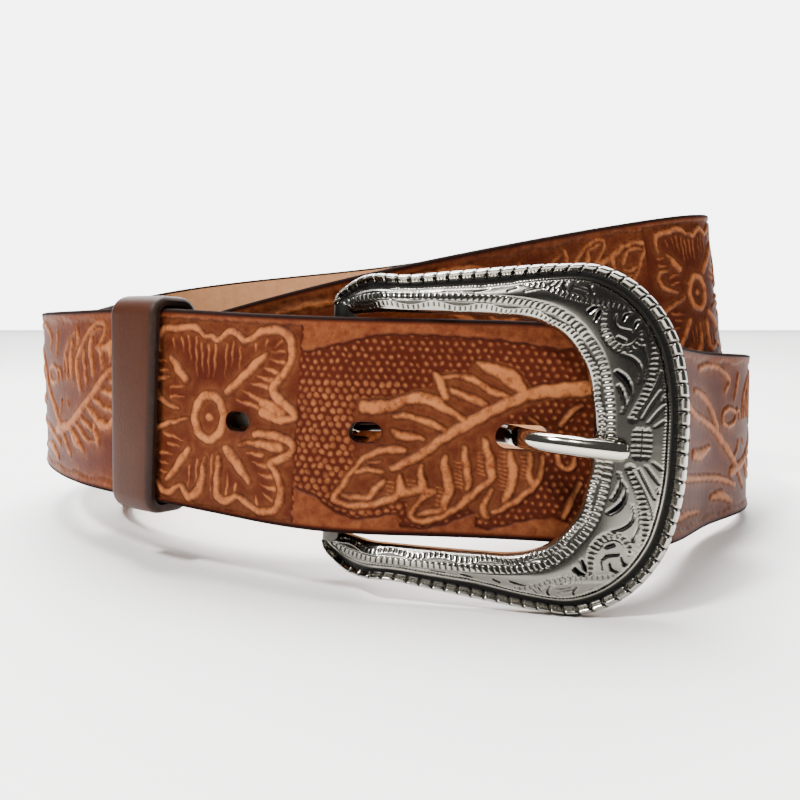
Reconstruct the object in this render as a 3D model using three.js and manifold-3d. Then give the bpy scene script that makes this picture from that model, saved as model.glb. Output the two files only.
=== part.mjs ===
// Western tooled belt, buckled and coiled in two turns, standing on its edge.
// Millimetres, +X to the right, +Y away from the viewer, +Z up.

import * as THREE from 'three';
import Module from 'manifold-3d';

const wasm = await Module();
wasm.setup();

// Strap
const strapWidth = 38;
const strapThickness = 3.4;
const edgeBevel = 0.7;
const layerGap = 0.35;
const sectionSpacing = 6.5;
const tipLength = 30;
const tipEndWidth = 9;

// Coil: the table of stations holds shares of these
const coilAcross = 188;
const coilDeep = 155;
const stackGap = 0.6;
const tipReach = 182;

// Buckle frame
const buckleLength = 61.5;
const buckleHeight = 60;
const windowLength = 46.4;
const windowClearance = 1.2;
const frameClearance = 1.75;
const frameThickness = 3.4;
const frameStand = 6.2;
const frameBow = 1;
const earLength = 12;
const frameYaw = -13.6;
const footDrop = 0.47;
const rimWidth = 2.2;
const rimGroove = 1;
const ropeNotch = 0.45;
const ropePitch = 2.33;

// Heel bar and the fold round it
const heelBarRadius = 2.2;
const barClearance = 0.35;
const foldSlotLength = 9;
const tailStep = 3;

// Prong
const prongRadius = 1.75;
const prongCurlWall = 1.2;
const prongOverlap = 5.6;
const prongDip = 1;
const prongSlotClearance = 0.7;

// Punched slots in the billet
const holeSpacing = 25.4;
const holeLength = 5.6;
const holeWidth = 3.6;
const prongHoleLength = 9.5;
const prongHoleWidth = 4.4;
const holesBehindProng = 3;
const holesBeforeProng = 1;
const prongHoleInset = 13.4;
const holeDrop = 1.1;

// Keeper loop
const keeperReach = 37;
const keeperWidth = 12;
const keeperWall = 1.8;
const keeperClearance = 0.65;
const keeperCorner = 2.2;

// Posts that close the fold
const postReaches = [19, 64];
const postBarrelRadius = 2.4;
const postHeadRadius = 4;
const postHeadThickness = 1;
const postClearance = 0.3;
const tailLength = 76;

const layerPitch = strapThickness + layerGap;
const turnRadius = heelBarRadius + barClearance + strapThickness / 2;
const earStand = layerPitch + turnRadius;
const windowHeight = strapWidth + 2 * windowClearance;
const prongHoleReach = windowLength - prongHoleInset;
const frontLift = (buckleHeight - strapWidth) / 2 + footDrop;
const stackLift = strapWidth + stackGap;
const cutMargin = layerGap * 0.45;
const degree = Math.PI / 180;
const up = new THREE.Vector3(0, 0, 1);

// Route of the strap.
// Near the buckle a station is set in the buckle's own frame:
// along = share of the buckle's length from the heel bar, out = distance in front of the bar
// front = share of the front lift, lean = degrees by which the top edge tips inwards
const underFrame = frameStand - strapThickness / 2 - frameClearance;
const buckleRun = [
  { along: 0.97, out: -15, front: 0.58, lean: 2 },
  { along: 0.82, out: -2.8, front: 0.85, lean: 3 },
  { along: 0.623, out: underFrame, front: 0.97, lean: 4 },
  { along: 0.328, out: (underFrame + earStand) * 0.42, front: 1, lean: 5 },
  { along: 0, out: earStand * 1.25, front: 1.04, lean: 5.5 },
  { along: -0.328, out: earStand * 0.3, front: 1.1, lean: 4 },
];

// Elsewhere a station is set from the heel bar:
// across, deep = shares of coilAcross and coilDeep; front = share of the front lift;
// stack = share of the height of one lap standing on another; lean in degrees
const leftBend = [
  { across: -0.202, deep: 0.072, front: 1.2, stack: 0, lean: 2 },
  { across: -0.298, deep: 0.178, front: 1.14, stack: 0, lean: 1 },
  { across: -0.379, deep: 0.318, front: 1.12, stack: 0, lean: 0 },
  { across: -0.44, deep: 0.482, front: 1.1, stack: 0, lean: 0 },
  { across: -0.446, deep: 0.668, front: 1.1, stack: 0, lean: 0 },
  { across: -0.4, deep: 0.83, front: 1.1, stack: 0, lean: 0 },
  { across: -0.3, deep: 0.945, front: 1.1, stack: 0, lean: 0 },
];
const risingLap = [
  { across: -0.296, deep: 0.91, front: 0.9, stack: 0.3, lean: 0 },
  { across: -0.145, deep: 0.962, front: 0.6, stack: 0.48, lean: 0 },
  { across: 0.005, deep: 0.982, front: 0.3, stack: 0.64, lean: 0 },
  { across: 0.155, deep: 0.976, front: 0.1, stack: 0.8, lean: 1 },
  { across: 0.3, deep: 0.938, front: 0, stack: 0.96, lean: 3 },
  { across: 0.427, deep: 0.842, front: 0, stack: 1.02, lean: 5 },
  { across: 0.506, deep: 0.7, front: 0, stack: 1.025, lean: 7 },
  { across: 0.527, deep: 0.538, front: 0, stack: 1.025, lean: 8 },
  { across: 0.462, deep: 0.437, front: 0, stack: 0.99, lean: 6 },
  { across: 0.36, deep: 0.372, front: 0, stack: 0.9, lean: 4 },
  { across: 0.252, deep: 0.288, front: 0, stack: 0.79, lean: 3 },
  { across: 0.134, deep: 0.192, front: 0, stack: 0.66, lean: 2 },
  { across: 0.008, deep: 0.128, front: 0, stack: 0.52, lean: 1 },
  { across: -0.12, deep: 0.153, front: 0, stack: 0.36, lean: 0 },
  { across: -0.231, deep: 0.243, front: 0, stack: 0.22, lean: 0 },
  { across: -0.306, deep: 0.366, front: 0, stack: 0.08, lean: 0 },
];
const floorLap = [
  { across: -0.335, deep: 0.514, front: 0, stack: 0, lean: 0 },
  { across: -0.311, deep: 0.669, front: 0, stack: 0, lean: 0 },
  { across: -0.231, deep: 0.798, front: 0, stack: 0, lean: 0 },
  { across: -0.109, deep: 0.863, front: 0, stack: 0, lean: 0 },
  { across: 0.029, deep: 0.888, front: 0, stack: 0, lean: 0 },
  { across: 0.168, deep: 0.888, front: 0, stack: 0, lean: 0 },
  { across: 0.3, deep: 0.856, front: 0, stack: 0, lean: 0 },
  { across: 0.418, deep: 0.785, front: 0, stack: 0, lean: 0 },
  { across: 0.506, deep: 0.675, front: 0.03, stack: 0, lean: 0 },
  { across: 0.54, deep: 0.527, front: 0.08, stack: 0, lean: 0 },
  { across: 0.527, deep: 0.385, front: 0.2, stack: 0, lean: 1 },
  { across: 0.471, deep: 0.275, front: 0.28, stack: 0, lean: 1 },
  { across: 0.402, deep: 0.182, front: 0.37, stack: 0, lean: 1 },
];

// Buckle outline, upper half from the heel end to the middle of the free end:
// outer and inner points as shares of the buckle's length and half height,
// and of the window's length and half height
const frameOutline = [
  { outAlong: -0.04, outHigh: 0.735, inAlong: -0.01, inHigh: 1 },
  { outAlong: -0.03, outHigh: 0.8, inAlong: 0.03, inHigh: 1 },
  { outAlong: 0.01, outHigh: 0.87, inAlong: 0.075, inHigh: 1 },
  { outAlong: 0.055, outHigh: 0.905, inAlong: 0.12, inHigh: 1 },
  { outAlong: 0.11, outHigh: 0.908, inAlong: 0.18, inHigh: 1 },
  { outAlong: 0.2, outHigh: 0.895, inAlong: 0.285, inHigh: 1 },
  { outAlong: 0.33, outHigh: 0.92, inAlong: 0.43, inHigh: 1 },
  { outAlong: 0.49, outHigh: 0.953, inAlong: 0.6, inHigh: 0.995 },
  { outAlong: 0.64, outHigh: 0.977, inAlong: 0.72, inHigh: 0.985 },
  { outAlong: 0.74, outHigh: 0.975, inAlong: 0.81, inHigh: 0.935 },
  { outAlong: 0.825, outHigh: 0.905, inAlong: 0.87, inHigh: 0.855 },
  { outAlong: 0.9, outHigh: 0.775, inAlong: 0.92, inHigh: 0.735 },
  { outAlong: 0.957, outHigh: 0.59, inAlong: 0.957, inHigh: 0.59 },
  { outAlong: 0.985, outHigh: 0.39, inAlong: 0.98, inHigh: 0.4 },
  { outAlong: 0.998, outHigh: 0.19, inAlong: 0.993, inHigh: 0.2 },
  { outAlong: 1, outHigh: 0, inAlong: 1, inHigh: 0 },
];

// Materials
const tooledLeather = new THREE.MeshStandardMaterial({ color: 0x96552d, roughness: 0.5, metalness: 0 });
const keeperLeather = new THREE.MeshStandardMaterial({ color: 0x87644b, roughness: 0.6, metalness: 0 });
const agedSilver = new THREE.MeshStandardMaterial({ color: 0x8f8c84, roughness: 0.3, metalness: 1 });
const polishedNickel = new THREE.MeshStandardMaterial({ color: 0xd8d0c2, roughness: 0.12, metalness: 1 });
const postNickel = new THREE.MeshStandardMaterial({ color: 0xb8b4aa, roughness: 0.3, metalness: 1 });

// Curves through tables

function smoothBlend(rows, position) {
  const first = Math.min(Math.max(Math.floor(position), 1), rows.length - 3);
  const t = position - first;
  const weights = [
    (1 - t) ** 3 / 6,
    (3 * t ** 3 - 6 * t ** 2 + 4) / 6,
    (-3 * t ** 3 + 3 * t ** 2 + 3 * t + 1) / 6,
    t ** 3 / 6,
  ];
  return weights.reduce((sum, weight, k) => {
    for (const key of Object.keys(rows[0])) sum[key] = (sum[key] ?? 0) + weight * rows[first - 1 + k][key];
    return sum;
  }, {});
}

function throughPoints(points, position) {
  const curve = new THREE.CatmullRomCurve3(points, false, 'centripetal');
  return curve.getPoint(position / (points.length - 1));
}

function easeStep(t) {
  const c = Math.min(Math.max(t, 0), 1);
  return c * c * (3 - 2 * c);
}

// The whole route as control stations in plan, from the free side of the buckle, twice round

function fromBuckle(row) {
  const yaw = frameYaw * degree;
  const along = row.along * buckleLength;
  return {
    x: along * Math.cos(yaw) + row.out * Math.sin(yaw),
    y: along * Math.sin(yaw) - row.out * Math.cos(yaw),
    low: row.front * frontLift,
    lean: row.lean,
  };
}

function fromHeel(row) {
  return {
    x: row.across * coilAcross,
    y: row.deep * coilDeep,
    low: row.front * frontLift + row.stack * stackLift,
    lean: row.lean,
  };
}

function layerRows(rows, layer) {
  return rows.map((row) => ({ ...row, layer }));
}

const innerStart = layerRows(buckleRun.slice(1).map(fromBuckle), 1);
const innerBend = layerRows(leftBend.slice(0, 5).map(fromHeel), 1);
const outerRise = { ...leftBend[5], stack: 0.13, front: 1.1 };
const route = [
  ...innerStart,
  ...innerBend,
  ...layerRows([fromHeel(outerRise)], 0.7),
  ...layerRows(risingLap.map(fromHeel), 0),
  ...layerRows(floorLap.map(fromHeel), 0),
  ...layerRows(buckleRun.map(fromBuckle), 0),
  ...layerRows(leftBend.map(fromHeel), 0),
];
const heelFirst = buckleRun.length - 3;
const heelSecond = route.length - leftBend.length - 2;

// One cross-section's place: centre, direction of travel, inward normal and width axis

function stationAt(position) {
  const step = 0.001;
  const row = smoothBlend(route, position);
  const before = smoothBlend(route, position - step);
  const after = smoothBlend(route, position + step);
  const travel = new THREE.Vector3(after.x - before.x, after.y - before.y, after.low - before.low);
  travel.normalize();
  const inward = new THREE.Vector3().crossVectors(travel, up).normalize();
  const width = new THREE.Vector3().crossVectors(inward, travel);
  inward.applyAxisAngle(travel, row.lean * degree);
  width.applyAxisAngle(travel, row.lean * degree);
  const centre = new THREE.Vector3(row.x, row.y, row.low + (width.z * strapWidth) / 2)
    .addScaledVector(inward, row.layer * layerPitch);
  return { centre, travel, inward, width };
}

// Walks the route from a position over the given distance, forward or back
function positionAtDistance(from, distance) {
  const step = 0.01 * Math.sign(distance);
  let position = from;
  let walked = 0;
  let last = stationAt(position).centre;
  while (walked < Math.abs(distance)) {
    position += step;
    const next = stationAt(position).centre;
    walked += next.distanceTo(last);
    last = next;
  }
  return position;
}

function positionsBetween(from, to, spacing) {
  const positions = [from];
  let last = stationAt(from).centre;
  for (let position = from; position < to - 0.02; position += 0.01) {
    const next = stationAt(position).centre;
    if (next.distanceTo(last) >= spacing) {
      positions.push(position);
      last = next;
    }
  }
  positions.push(to);
  return positions;
}

// The fold: tail behind the strap, half turn round the heel bar

function tailOffset(reach) {
  const keeperMiddle = keeperReach + keeperWidth / 2;
  const closed = layerPitch;
  const overKeeper = layerPitch + keeperWall + 2 * keeperClearance;
  const stops = [
    [0, 2 * turnRadius],
    [postReaches[0] - 1.4 * postHeadRadius, closed],
    [postReaches[0] + 1.4 * postHeadRadius, closed],
    [keeperMiddle - keeperWidth / 2 - keeperWall, overKeeper],
    [keeperMiddle + keeperWidth / 2 + keeperWall, overKeeper],
    [postReaches[1] - 1.4 * postHeadRadius, closed],
    [tailLength + 1, closed],
  ];
  const next = stops.findIndex((stop) => stop[0] > reach);
  const [fromReach, fromOffset] = stops[next - 1];
  const [toReach, toOffset] = stops[next];
  return fromOffset + (toOffset - fromOffset) * easeStep((reach - fromReach) / (toReach - fromReach));
}

function tailStation(reach) {
  const front = stationAt(positionAtDistance(heelFirst, reach));
  return {
    centre: front.centre.clone().addScaledVector(front.inward, tailOffset(reach)),
    travel: front.travel.clone().negate(),
    inward: front.inward.clone().negate(),
    width: front.width,
  };
}

const heel = stationAt(heelFirst);
const barCentre = heel.centre.clone().addScaledVector(heel.inward, turnRadius);

function foldStation(angle) {
  const outFromBar = heel.inward.clone().multiplyScalar(Math.cos(angle));
  outFromBar.addScaledVector(heel.travel, -Math.sin(angle));
  const centre = barCentre.clone().addScaledVector(outFromBar, turnRadius);
  const inward = outFromBar.clone().negate();
  const travel = new THREE.Vector3().crossVectors(heel.width, inward).negate().normalize();
  return { centre, travel, inward, width: heel.width };
}

function foldStations() {
  const steps = 12;
  return Array.from({ length: steps - 1 }, (_, k) => foldStation((Math.PI * (k + 1)) / steps));
}

// Stations of the tail from a reach back to the fold, at even steps that the slot's cutter shares
function tailStations(farReach) {
  const steps = Math.floor(farReach / tailStep);
  const reaches = Array.from({ length: steps + 1 }, (_, k) => k * tailStep);
  if (farReach - steps * tailStep > tailStep * 0.3) reaches.push(farReach);
  return reaches.reverse().map(tailStation);
}

// Solids and geometries

function toSolid(geometry) {
  const mesh = new wasm.Mesh({
    numProp: 3,
    vertProperties: new Float32Array(geometry.getAttribute('position').array),
    triVerts: new Uint32Array(geometry.getIndex().array),
  });
  return new wasm.Manifold(mesh);
}

function toGeometry(solid) {
  const mesh = solid.getMesh();
  const geometry = new THREE.BufferGeometry();
  geometry.setAttribute('position', new THREE.BufferAttribute(new Float32Array(mesh.vertProperties), 3));
  geometry.setIndex(new THREE.BufferAttribute(new Uint32Array(mesh.triVerts), 1));
  geometry.computeVertexNormals();
  return geometry;
}

// Skins a list of sections; an open loft gets a cap at each end, a ring none
function loft(sections, ring = false) {
  const size = sections[0].length;
  const points = sections.flat();
  const index = [];
  const rounds = ring ? sections.length : sections.length - 1;
  for (let s = 0; s < rounds; s += 1) {
    const here = s * size;
    const there = ((s + 1) % sections.length) * size;
    for (let k = 0; k < size; k += 1) {
      const next = (k + 1) % size;
      index.push(here + k, here + next, there + next, here + k, there + next, there + k);
    }
  }
  if (!ring) {
    for (const [start, flip] of [[0, true], [(sections.length - 1) * size, false]]) {
      const middle = new THREE.Vector3();
      for (let k = 0; k < size; k += 1) middle.addScaledVector(points[start + k], 1 / size);
      points.push(middle);
      for (let k = 0; k < size; k += 1) {
        const pair = [start + k, start + ((k + 1) % size)];
        if (flip) pair.reverse();
        index.push(points.length - 1, ...pair);
      }
    }
  }
  const geometry = new THREE.BufferGeometry().setFromPoints(points);
  geometry.setIndex(index);
  return geometry;
}

// Turns a loft's faces outwards if its sections were listed the other way round
function solidLoft(sections, ring = false) {
  const solid = toSolid(loft(sections, ring));
  if (solid.volume() > 0) return solid;
  return toSolid(loft(sections.map((section) => [...section].reverse()), ring));
}

function cylinderSolid(radius, length, segments) {
  const geometry = new THREE.CylinderGeometry(radius, radius, length, segments).toNonIndexed();
  return solidFromSoup(geometry);
}

function solidFromSoup(geometry) {
  const positions = geometry.getAttribute('position');
  const lookup = new Map();
  const points = [];
  const index = [];
  for (let k = 0; k < positions.count; k += 1) {
    const point = new THREE.Vector3().fromBufferAttribute(positions, k);
    const key = point.toArray().map((value) => Math.round(value * 1e4)).join();
    if (!lookup.has(key)) {
      lookup.set(key, points.length);
      points.push(point);
    }
    index.push(lookup.get(key));
  }
  const kept = [];
  for (let k = 0; k < index.length; k += 3) {
    const [a, b, c] = index.slice(k, k + 3);
    if (a !== b && b !== c && a !== c) kept.push(a, b, c);
  }
  const merged = new THREE.BufferGeometry().setFromPoints(points);
  merged.setIndex(kept);
  return toSolid(merged);
}

function placed(solid, xAxis, yAxis, zAxis, centre) {
  const matrix = new THREE.Matrix4().makeBasis(xAxis, yAxis, zAxis).setPosition(centre);
  return solid.transform(matrix.elements);
}

// Strap

function strapSection(station, halfWidth, halfThickness, bevel) {
  const corners = [
    [halfThickness, halfWidth - bevel],
    [halfThickness - bevel, halfWidth],
    [-halfThickness + bevel, halfWidth],
    [-halfThickness, halfWidth - bevel],
    [-halfThickness, -halfWidth + bevel],
    [-halfThickness + bevel, -halfWidth],
    [halfThickness - bevel, -halfWidth],
    [halfThickness, -halfWidth + bevel],
  ];
  return corners.map(([inwards, across]) =>
    station.centre.clone().addScaledVector(station.inward, inwards).addScaledVector(station.width, across));
}

function obroundSolid(length, width, depth) {
  const radius = width / 2;
  const straight = (length - width) / 2;
  const outline = new THREE.Shape();
  outline.absarc(straight, 0, radius, -Math.PI / 2, Math.PI / 2);
  outline.absarc(-straight, 0, radius, Math.PI / 2, Math.PI * 1.5);
  const geometry = new THREE.ExtrudeGeometry(outline, { depth, bevelEnabled: false, curveSegments: 8 });
  geometry.translate(0, 0, -depth / 2);
  return solidFromSoup(geometry.index ? geometry.toNonIndexed() : geometry);
}

// The punched slots by their middle's distance past the heel bar;
// the prong's own slot is stretched towards the buckle's free end
const holes = Array.from({ length: holesBeforeProng + 1 + holesBehindProng }, (_, k) => {
  const number = k - holesBeforeProng;
  const length = number === 0 ? prongHoleLength : holeLength;
  const across = number === 0 ? prongHoleWidth : holeWidth;
  const reach = number * holeSpacing - prongHoleReach - (length - holeLength) / 2;
  return { reach, length, across };
});
const prongHole = holes[holesBeforeProng];

// The slots lie a little below the strap's middle line
function holeCentre(reach) {
  const { centre, width } = stationAt(positionAtDistance(heelSecond, reach));
  return centre.addScaledVector(width, -holeDrop);
}

// Both ends and the middle of each slot
function holeStops() {
  return holes.flatMap(({ reach, length }) =>
    [-0.5, 0, 0.5].map((end) => positionAtDistance(heelSecond, reach + end * length)));
}

const tipPosition = positionAtDistance(heelSecond, tipReach);
const slotEnd = positionAtDistance(heelFirst, foldSlotLength);

function tipHalfWidth(distanceToEnd) {
  const share = Math.min(distanceToEnd / tipLength, 1);
  const endHalf = tipEndWidth / 2;
  return endHalf + (strapWidth / 2 - endHalf) * Math.sin((share * Math.PI) / 2) ** 0.8;
}

function strapSolid() {
  const half = strapThickness / 2;
  const tail = tailStations(tailLength);
  const slotPositions = positionsBetween(heelFirst, slotEnd, tailStep);
  const stops = [slotEnd, ...holeStops(), tipPosition];
  const longPositions = stops.slice(1).flatMap((stop, k) =>
    positionsBetween(stops[k], stop, sectionSpacing).slice(1));
  const run = [...slotPositions, ...longPositions].map(stationAt);
  let toEnd = 0;
  const halfWidths = run.map(() => strapWidth / 2);
  for (let k = run.length - 1; k >= 0 && toEnd < tipLength; k -= 1) {
    halfWidths[k] = tipHalfWidth(toEnd);
    if (k > 0) toEnd += run[k].centre.distanceTo(run[k - 1].centre);
  }
  const before = [...tail, ...foldStations()];
  const sections = [
    ...before.map((station) => strapSection(station, strapWidth / 2, half, edgeBevel)),
    ...run.map((station, k) => strapSection(station, halfWidths[k], half, edgeBevel)),
  ];
  return solidLoft(sections);
}

function foldSlotSolid() {
  const run = positionsBetween(heelFirst, slotEnd, tailStep).map(stationAt);
  const stations = [...tailStations(foldSlotLength), ...foldStations(), ...run];
  const halfWidth = prongRadius + prongSlotClearance;
  const halfThickness = strapThickness / 2 + cutMargin;
  return solidLoft(stations.map((station) => strapSection(station, halfWidth, halfThickness, cutMargin)));
}

function billetHoles() {
  const depth = strapThickness + 2 * cutMargin;
  return holes.map(({ reach, length, across }) => {
    const { travel, width, inward } = stationAt(positionAtDistance(heelSecond, reach));
    return placed(obroundSolid(length, across, depth), travel, width, inward, holeCentre(reach));
  });
}

// A post runs along the inward normal through the strap and its folded tail
function postStation(reach) {
  return stationAt(positionAtDistance(heelFirst, reach));
}

function postHoles() {
  return postReaches.flatMap((reach) => {
    const { centre, travel, width, inward } = postStation(reach);
    const far = tailOffset(reach) + strapThickness / 2 + cutMargin;
    const near = -strapThickness / 2 - cutMargin;
    const sink = postHeadThickness + 2 * postClearance + cutMargin;
    const barrel = cylinderSolid(postBarrelRadius + postClearance, far - near, 16);
    const counterbore = cylinderSolid(postHeadRadius + postClearance, sink, 20);
    const barrelCentre = centre.clone().addScaledVector(inward, (far + near) / 2);
    const boreCentre = centre.clone().addScaledVector(inward, near + sink / 2);
    return [
      placed(barrel, width, inward, travel, barrelCentre),
      placed(counterbore, width, inward, travel, boreCentre),
    ];
  });
}

function makeStrap() {
  const cuts = [foldSlotSolid(), ...billetHoles(), ...postHoles()];
  const solid = cuts.reduce((body, cut) => body.subtract(cut), strapSolid());
  const mesh = new THREE.Mesh(toGeometry(solid), tooledLeather);
  mesh.name = 'strap';
  return mesh;
}

// Keeper loop round the billet and the layer under it

function keeperSolid() {
  const halfDeep = (2 * strapThickness + layerGap) / 2 + keeperClearance;
  const halfHigh = strapWidth / 2 + keeperClearance;
  const middleOffset = layerPitch / 2;
  const ringPoint = (angle, wall) => {
    const corner = Math.min(keeperCorner, halfDeep) + wall;
    const c = Math.cos(angle);
    const s = Math.sin(angle);
    return [
      Math.sign(c) * (halfDeep + wall - corner) + corner * c,
      Math.sign(s) * (halfHigh + wall - corner) + corner * s,
    ];
  };
  const stations = [0, 0.5, 1].map((share) =>
    stationAt(positionAtDistance(heelSecond, keeperReach + share * keeperWidth)));
  const place = (station, [deep, high]) => station.centre.clone()
    .addScaledVector(station.inward, middleOffset + deep)
    .addScaledVector(station.width, high);
  const cornerSteps = 5;
  const angles = [];
  for (let quarter = 0; quarter < 4; quarter += 1) {
    for (let k = 0; k <= cornerSteps; k += 1) {
      const inside = 0.02 + (0.96 * k) / cornerSteps;
      angles.push((quarter + inside) * 90 * degree);
    }
  }
  const sections = angles.map((angle) => [
    ...stations.map((station) => place(station, ringPoint(angle, keeperWall))),
    ...stations.map((station) => place(station, ringPoint(angle, 0))).reverse(),
  ]);
  return solidLoft(sections, true);
}

function makeKeeper() {
  const mesh = new THREE.Mesh(toGeometry(keeperSolid()), keeperLeather);
  mesh.name = 'keeper';
  return mesh;
}

// Buckle, in its own frame: x from the heel bar to the free end, -y to the viewer, z up

const outerTop = frameOutline.map((row) =>
  new THREE.Vector3(row.outAlong * buckleLength, 0, (row.outHigh * buckleHeight) / 2));
const innerTop = frameOutline.map((row) =>
  new THREE.Vector3(row.inAlong * windowLength, 0, (row.inHigh * windowHeight) / 2));

function outlinePoint(points, position) {
  const last = points.length - 1;
  const mirrored = position > last;
  const point = throughPoints(points, mirrored ? 2 * last - position : position);
  if (mirrored) point.z = -point.z;
  return point;
}

// Height of the casting's back above the heel bar's centre
function backStand(along) {
  const share = along / buckleLength;
  const bowed = frameStand - frameBow * (2 * share - 1) ** 2 * (share > 0.5 ? 1 : 0.3);
  const atBar = -frameThickness / 2;
  return atBar + (bowed - atBar) * easeStep((along + 1) / earLength);
}

function frameSection(position, rimDrop) {
  const outer = outlinePoint(outerTop, position);
  const inner = outlinePoint(innerTop, position);
  const across = outer.clone().sub(inner);
  const breadth = across.length();
  across.normalize();
  const rim = Math.min(rimWidth, breadth * 0.26);
  const groove = Math.min(rimGroove, breadth * 0.12);
  const rimTop = frameThickness * 0.74 - rimDrop;
  const grooveFloor = frameThickness * 0.45;
  const profile = [
    [0, 0],
    [breadth - rim * 0.2, 0],
    [breadth - rimDrop * 0.5, frameThickness * 0.2],
    [breadth - rimDrop * 0.5, rimTop * 0.8],
    [breadth - rim * 0.35, rimTop],
    [breadth - rim, grooveFloor],
    [breadth - rim - groove, grooveFloor],
    [breadth - rim - groove * 1.6, frameThickness * 0.8],
    [(breadth - rim) * 0.45, frameThickness],
    [rim * 0.4, frameThickness * 0.78],
    [0, frameThickness * 0.5],
  ];
  return profile.map(([from, height]) => {
    const point = inner.clone().addScaledVector(across, from);
    point.y = -(backStand(point.x) + height);
    return point;
  });
}

// Positions along the outline that split its outer edge into equal rope steps
function ropePositions() {
  const last = 2 * (outerTop.length - 1);
  const fine = 1200;
  const lengths = [0];
  let previous = outlinePoint(outerTop, 0);
  for (let k = 1; k <= fine; k += 1) {
    const next = outlinePoint(outerTop, (last * k) / fine);
    lengths.push(lengths[k - 1] + next.distanceTo(previous));
    previous = next;
  }
  const steps = 2 * Math.round(lengths[fine] / ropePitch);
  const positions = [];
  let at = 0;
  for (let k = 0; k <= steps; k += 1) {
    while (at < fine && lengths[at] < (lengths[fine] * k) / steps) at += 1;
    positions.push((last * at) / fine);
  }
  return positions;
}

function frameSolid() {
  const sections = ropePositions().map((position, k) => frameSection(position, k % 2 === 0 ? ropeNotch : 0));
  const casting = solidLoft(sections);
  const barReach = (windowHeight + buckleHeight * 0.8) / 2;
  const bar = cylinderSolid(heelBarRadius, barReach, 16).rotate([90, 0, 0]);
  return casting.add(bar);
}

// Prong: a curl round the heel bar and a shank up through the billet's hole onto the frame
function prongSolid(throughHole) {
  const innerRadius = heelBarRadius + barClearance;
  const outerRadius = innerRadius + prongCurlWall;
  const tipAlong = windowLength + prongOverlap;
  const rest = backStand(tipAlong) + frameThickness + layerGap + prongRadius;
  const behindBillet = underFrame - strapThickness / 2 - layerGap - prongRadius;
  const hole = throughHole.x;
  const shank = [
    { x: 0, out: outerRadius * 0.5, radius: prongRadius * 0.75 },
    { x: outerRadius, out: outerRadius * 0.35, radius: prongRadius * 0.8 },
    { x: hole * 0.41, out: behindBillet * 0.5, radius: prongRadius * 0.9 },
    { x: hole * 0.75, out: behindBillet * 1.3, radius: prongRadius * 0.95 },
    { x: hole - prongHoleLength * 0.27, out: behindBillet, radius: prongRadius },
    { x: hole - prongHoleLength * 0.03, out: rest * 0.12, radius: prongRadius },
    { x: hole + prongHoleLength * 0.26, out: rest * 0.43, radius: prongRadius },
    { x: hole + prongHoleLength * 0.6, out: rest * 0.74, radius: prongRadius },
    { x: windowLength * 0.93, out: rest * 0.93, radius: prongRadius },
    { x: windowLength, out: rest, radius: prongRadius },
    { x: tipAlong - prongRadius * 1.2, out: rest * 1.005, radius: prongRadius },
    { x: tipAlong - prongRadius * 0.3, out: rest, radius: prongRadius * 0.85 },
    { x: tipAlong, out: rest * 0.985, radius: prongRadius * 0.4 },
  ];
  const slope = prongDip / (tipAlong - hole);
  const height = (x) => (throughHole.z - slope * (x - hole)) * easeStep((2 * x) / hole);
  const centres = shank.map((row) => new THREE.Vector3(row.x, -row.out, height(row.x)));
  const radii = shank.map((row) => new THREE.Vector3(row.radius, 0, 0));
  const sides = 10;
  const sections = [];
  for (let position = 1; position <= shank.length - 1; position += 0.5) {
    const centre = throughPoints(centres, position);
    const after = throughPoints(centres, Math.min(position + 0.01, shank.length - 1));
    const before = throughPoints(centres, position - 0.01);
    const travel = after.sub(before).normalize();
    const normal = new THREE.Vector3(-travel.y, travel.x, 0).normalize();
    const radius = throughPoints(radii, position).x;
    sections.push(Array.from({ length: sides }, (_, k) => {
      const angle = (2 * Math.PI * k) / sides;
      return centre.clone()
        .addScaledVector(normal, radius * Math.cos(angle))
        .addScaledVector(up, radius * Math.sin(angle));
    }));
  }
  const curlWidth = prongRadius * 0.95;
  const curlProfile = [
    new THREE.Vector2(innerRadius, -curlWidth),
    new THREE.Vector2(outerRadius, -curlWidth),
    new THREE.Vector2(outerRadius, curlWidth),
    new THREE.Vector2(innerRadius, curlWidth),
    new THREE.Vector2(innerRadius, -curlWidth),
  ];
  const curl = solidFromSoup(new THREE.LatheGeometry(curlProfile, 20).toNonIndexed()).rotate([90, 0, 0]);
  const bore = cylinderSolid(innerRadius, 4 * curlWidth, 20).rotate([90, 0, 0]);
  return solidLoft(sections).subtract(bore).add(curl);
}

function makeBuckle() {
  const yaw = frameYaw * degree;
  const alongAxis = new THREE.Vector3(Math.cos(yaw), Math.sin(yaw), 0);
  const awayAxis = new THREE.Vector3().crossVectors(heel.width, alongAxis).normalize();
  alongAxis.crossVectors(awayAxis, heel.width);
  const group = new THREE.Group();
  group.position.copy(barCentre);
  group.quaternion.setFromRotationMatrix(new THREE.Matrix4().makeBasis(alongAxis, awayAxis, heel.width));
  const frame = new THREE.Mesh(toGeometry(frameSolid()), agedSilver);
  frame.name = 'buckle_frame';
  group.updateMatrixWorld(true);
  const throughHole = group.worldToLocal(holeCentre(prongHole.reach));
  const prong = new THREE.Mesh(toGeometry(prongSolid(throughHole)), polishedNickel);
  prong.name = 'prong';
  group.add(frame, prong);
  return group;
}

// Fold posts, each turned about its own axis and set into the strap

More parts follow.
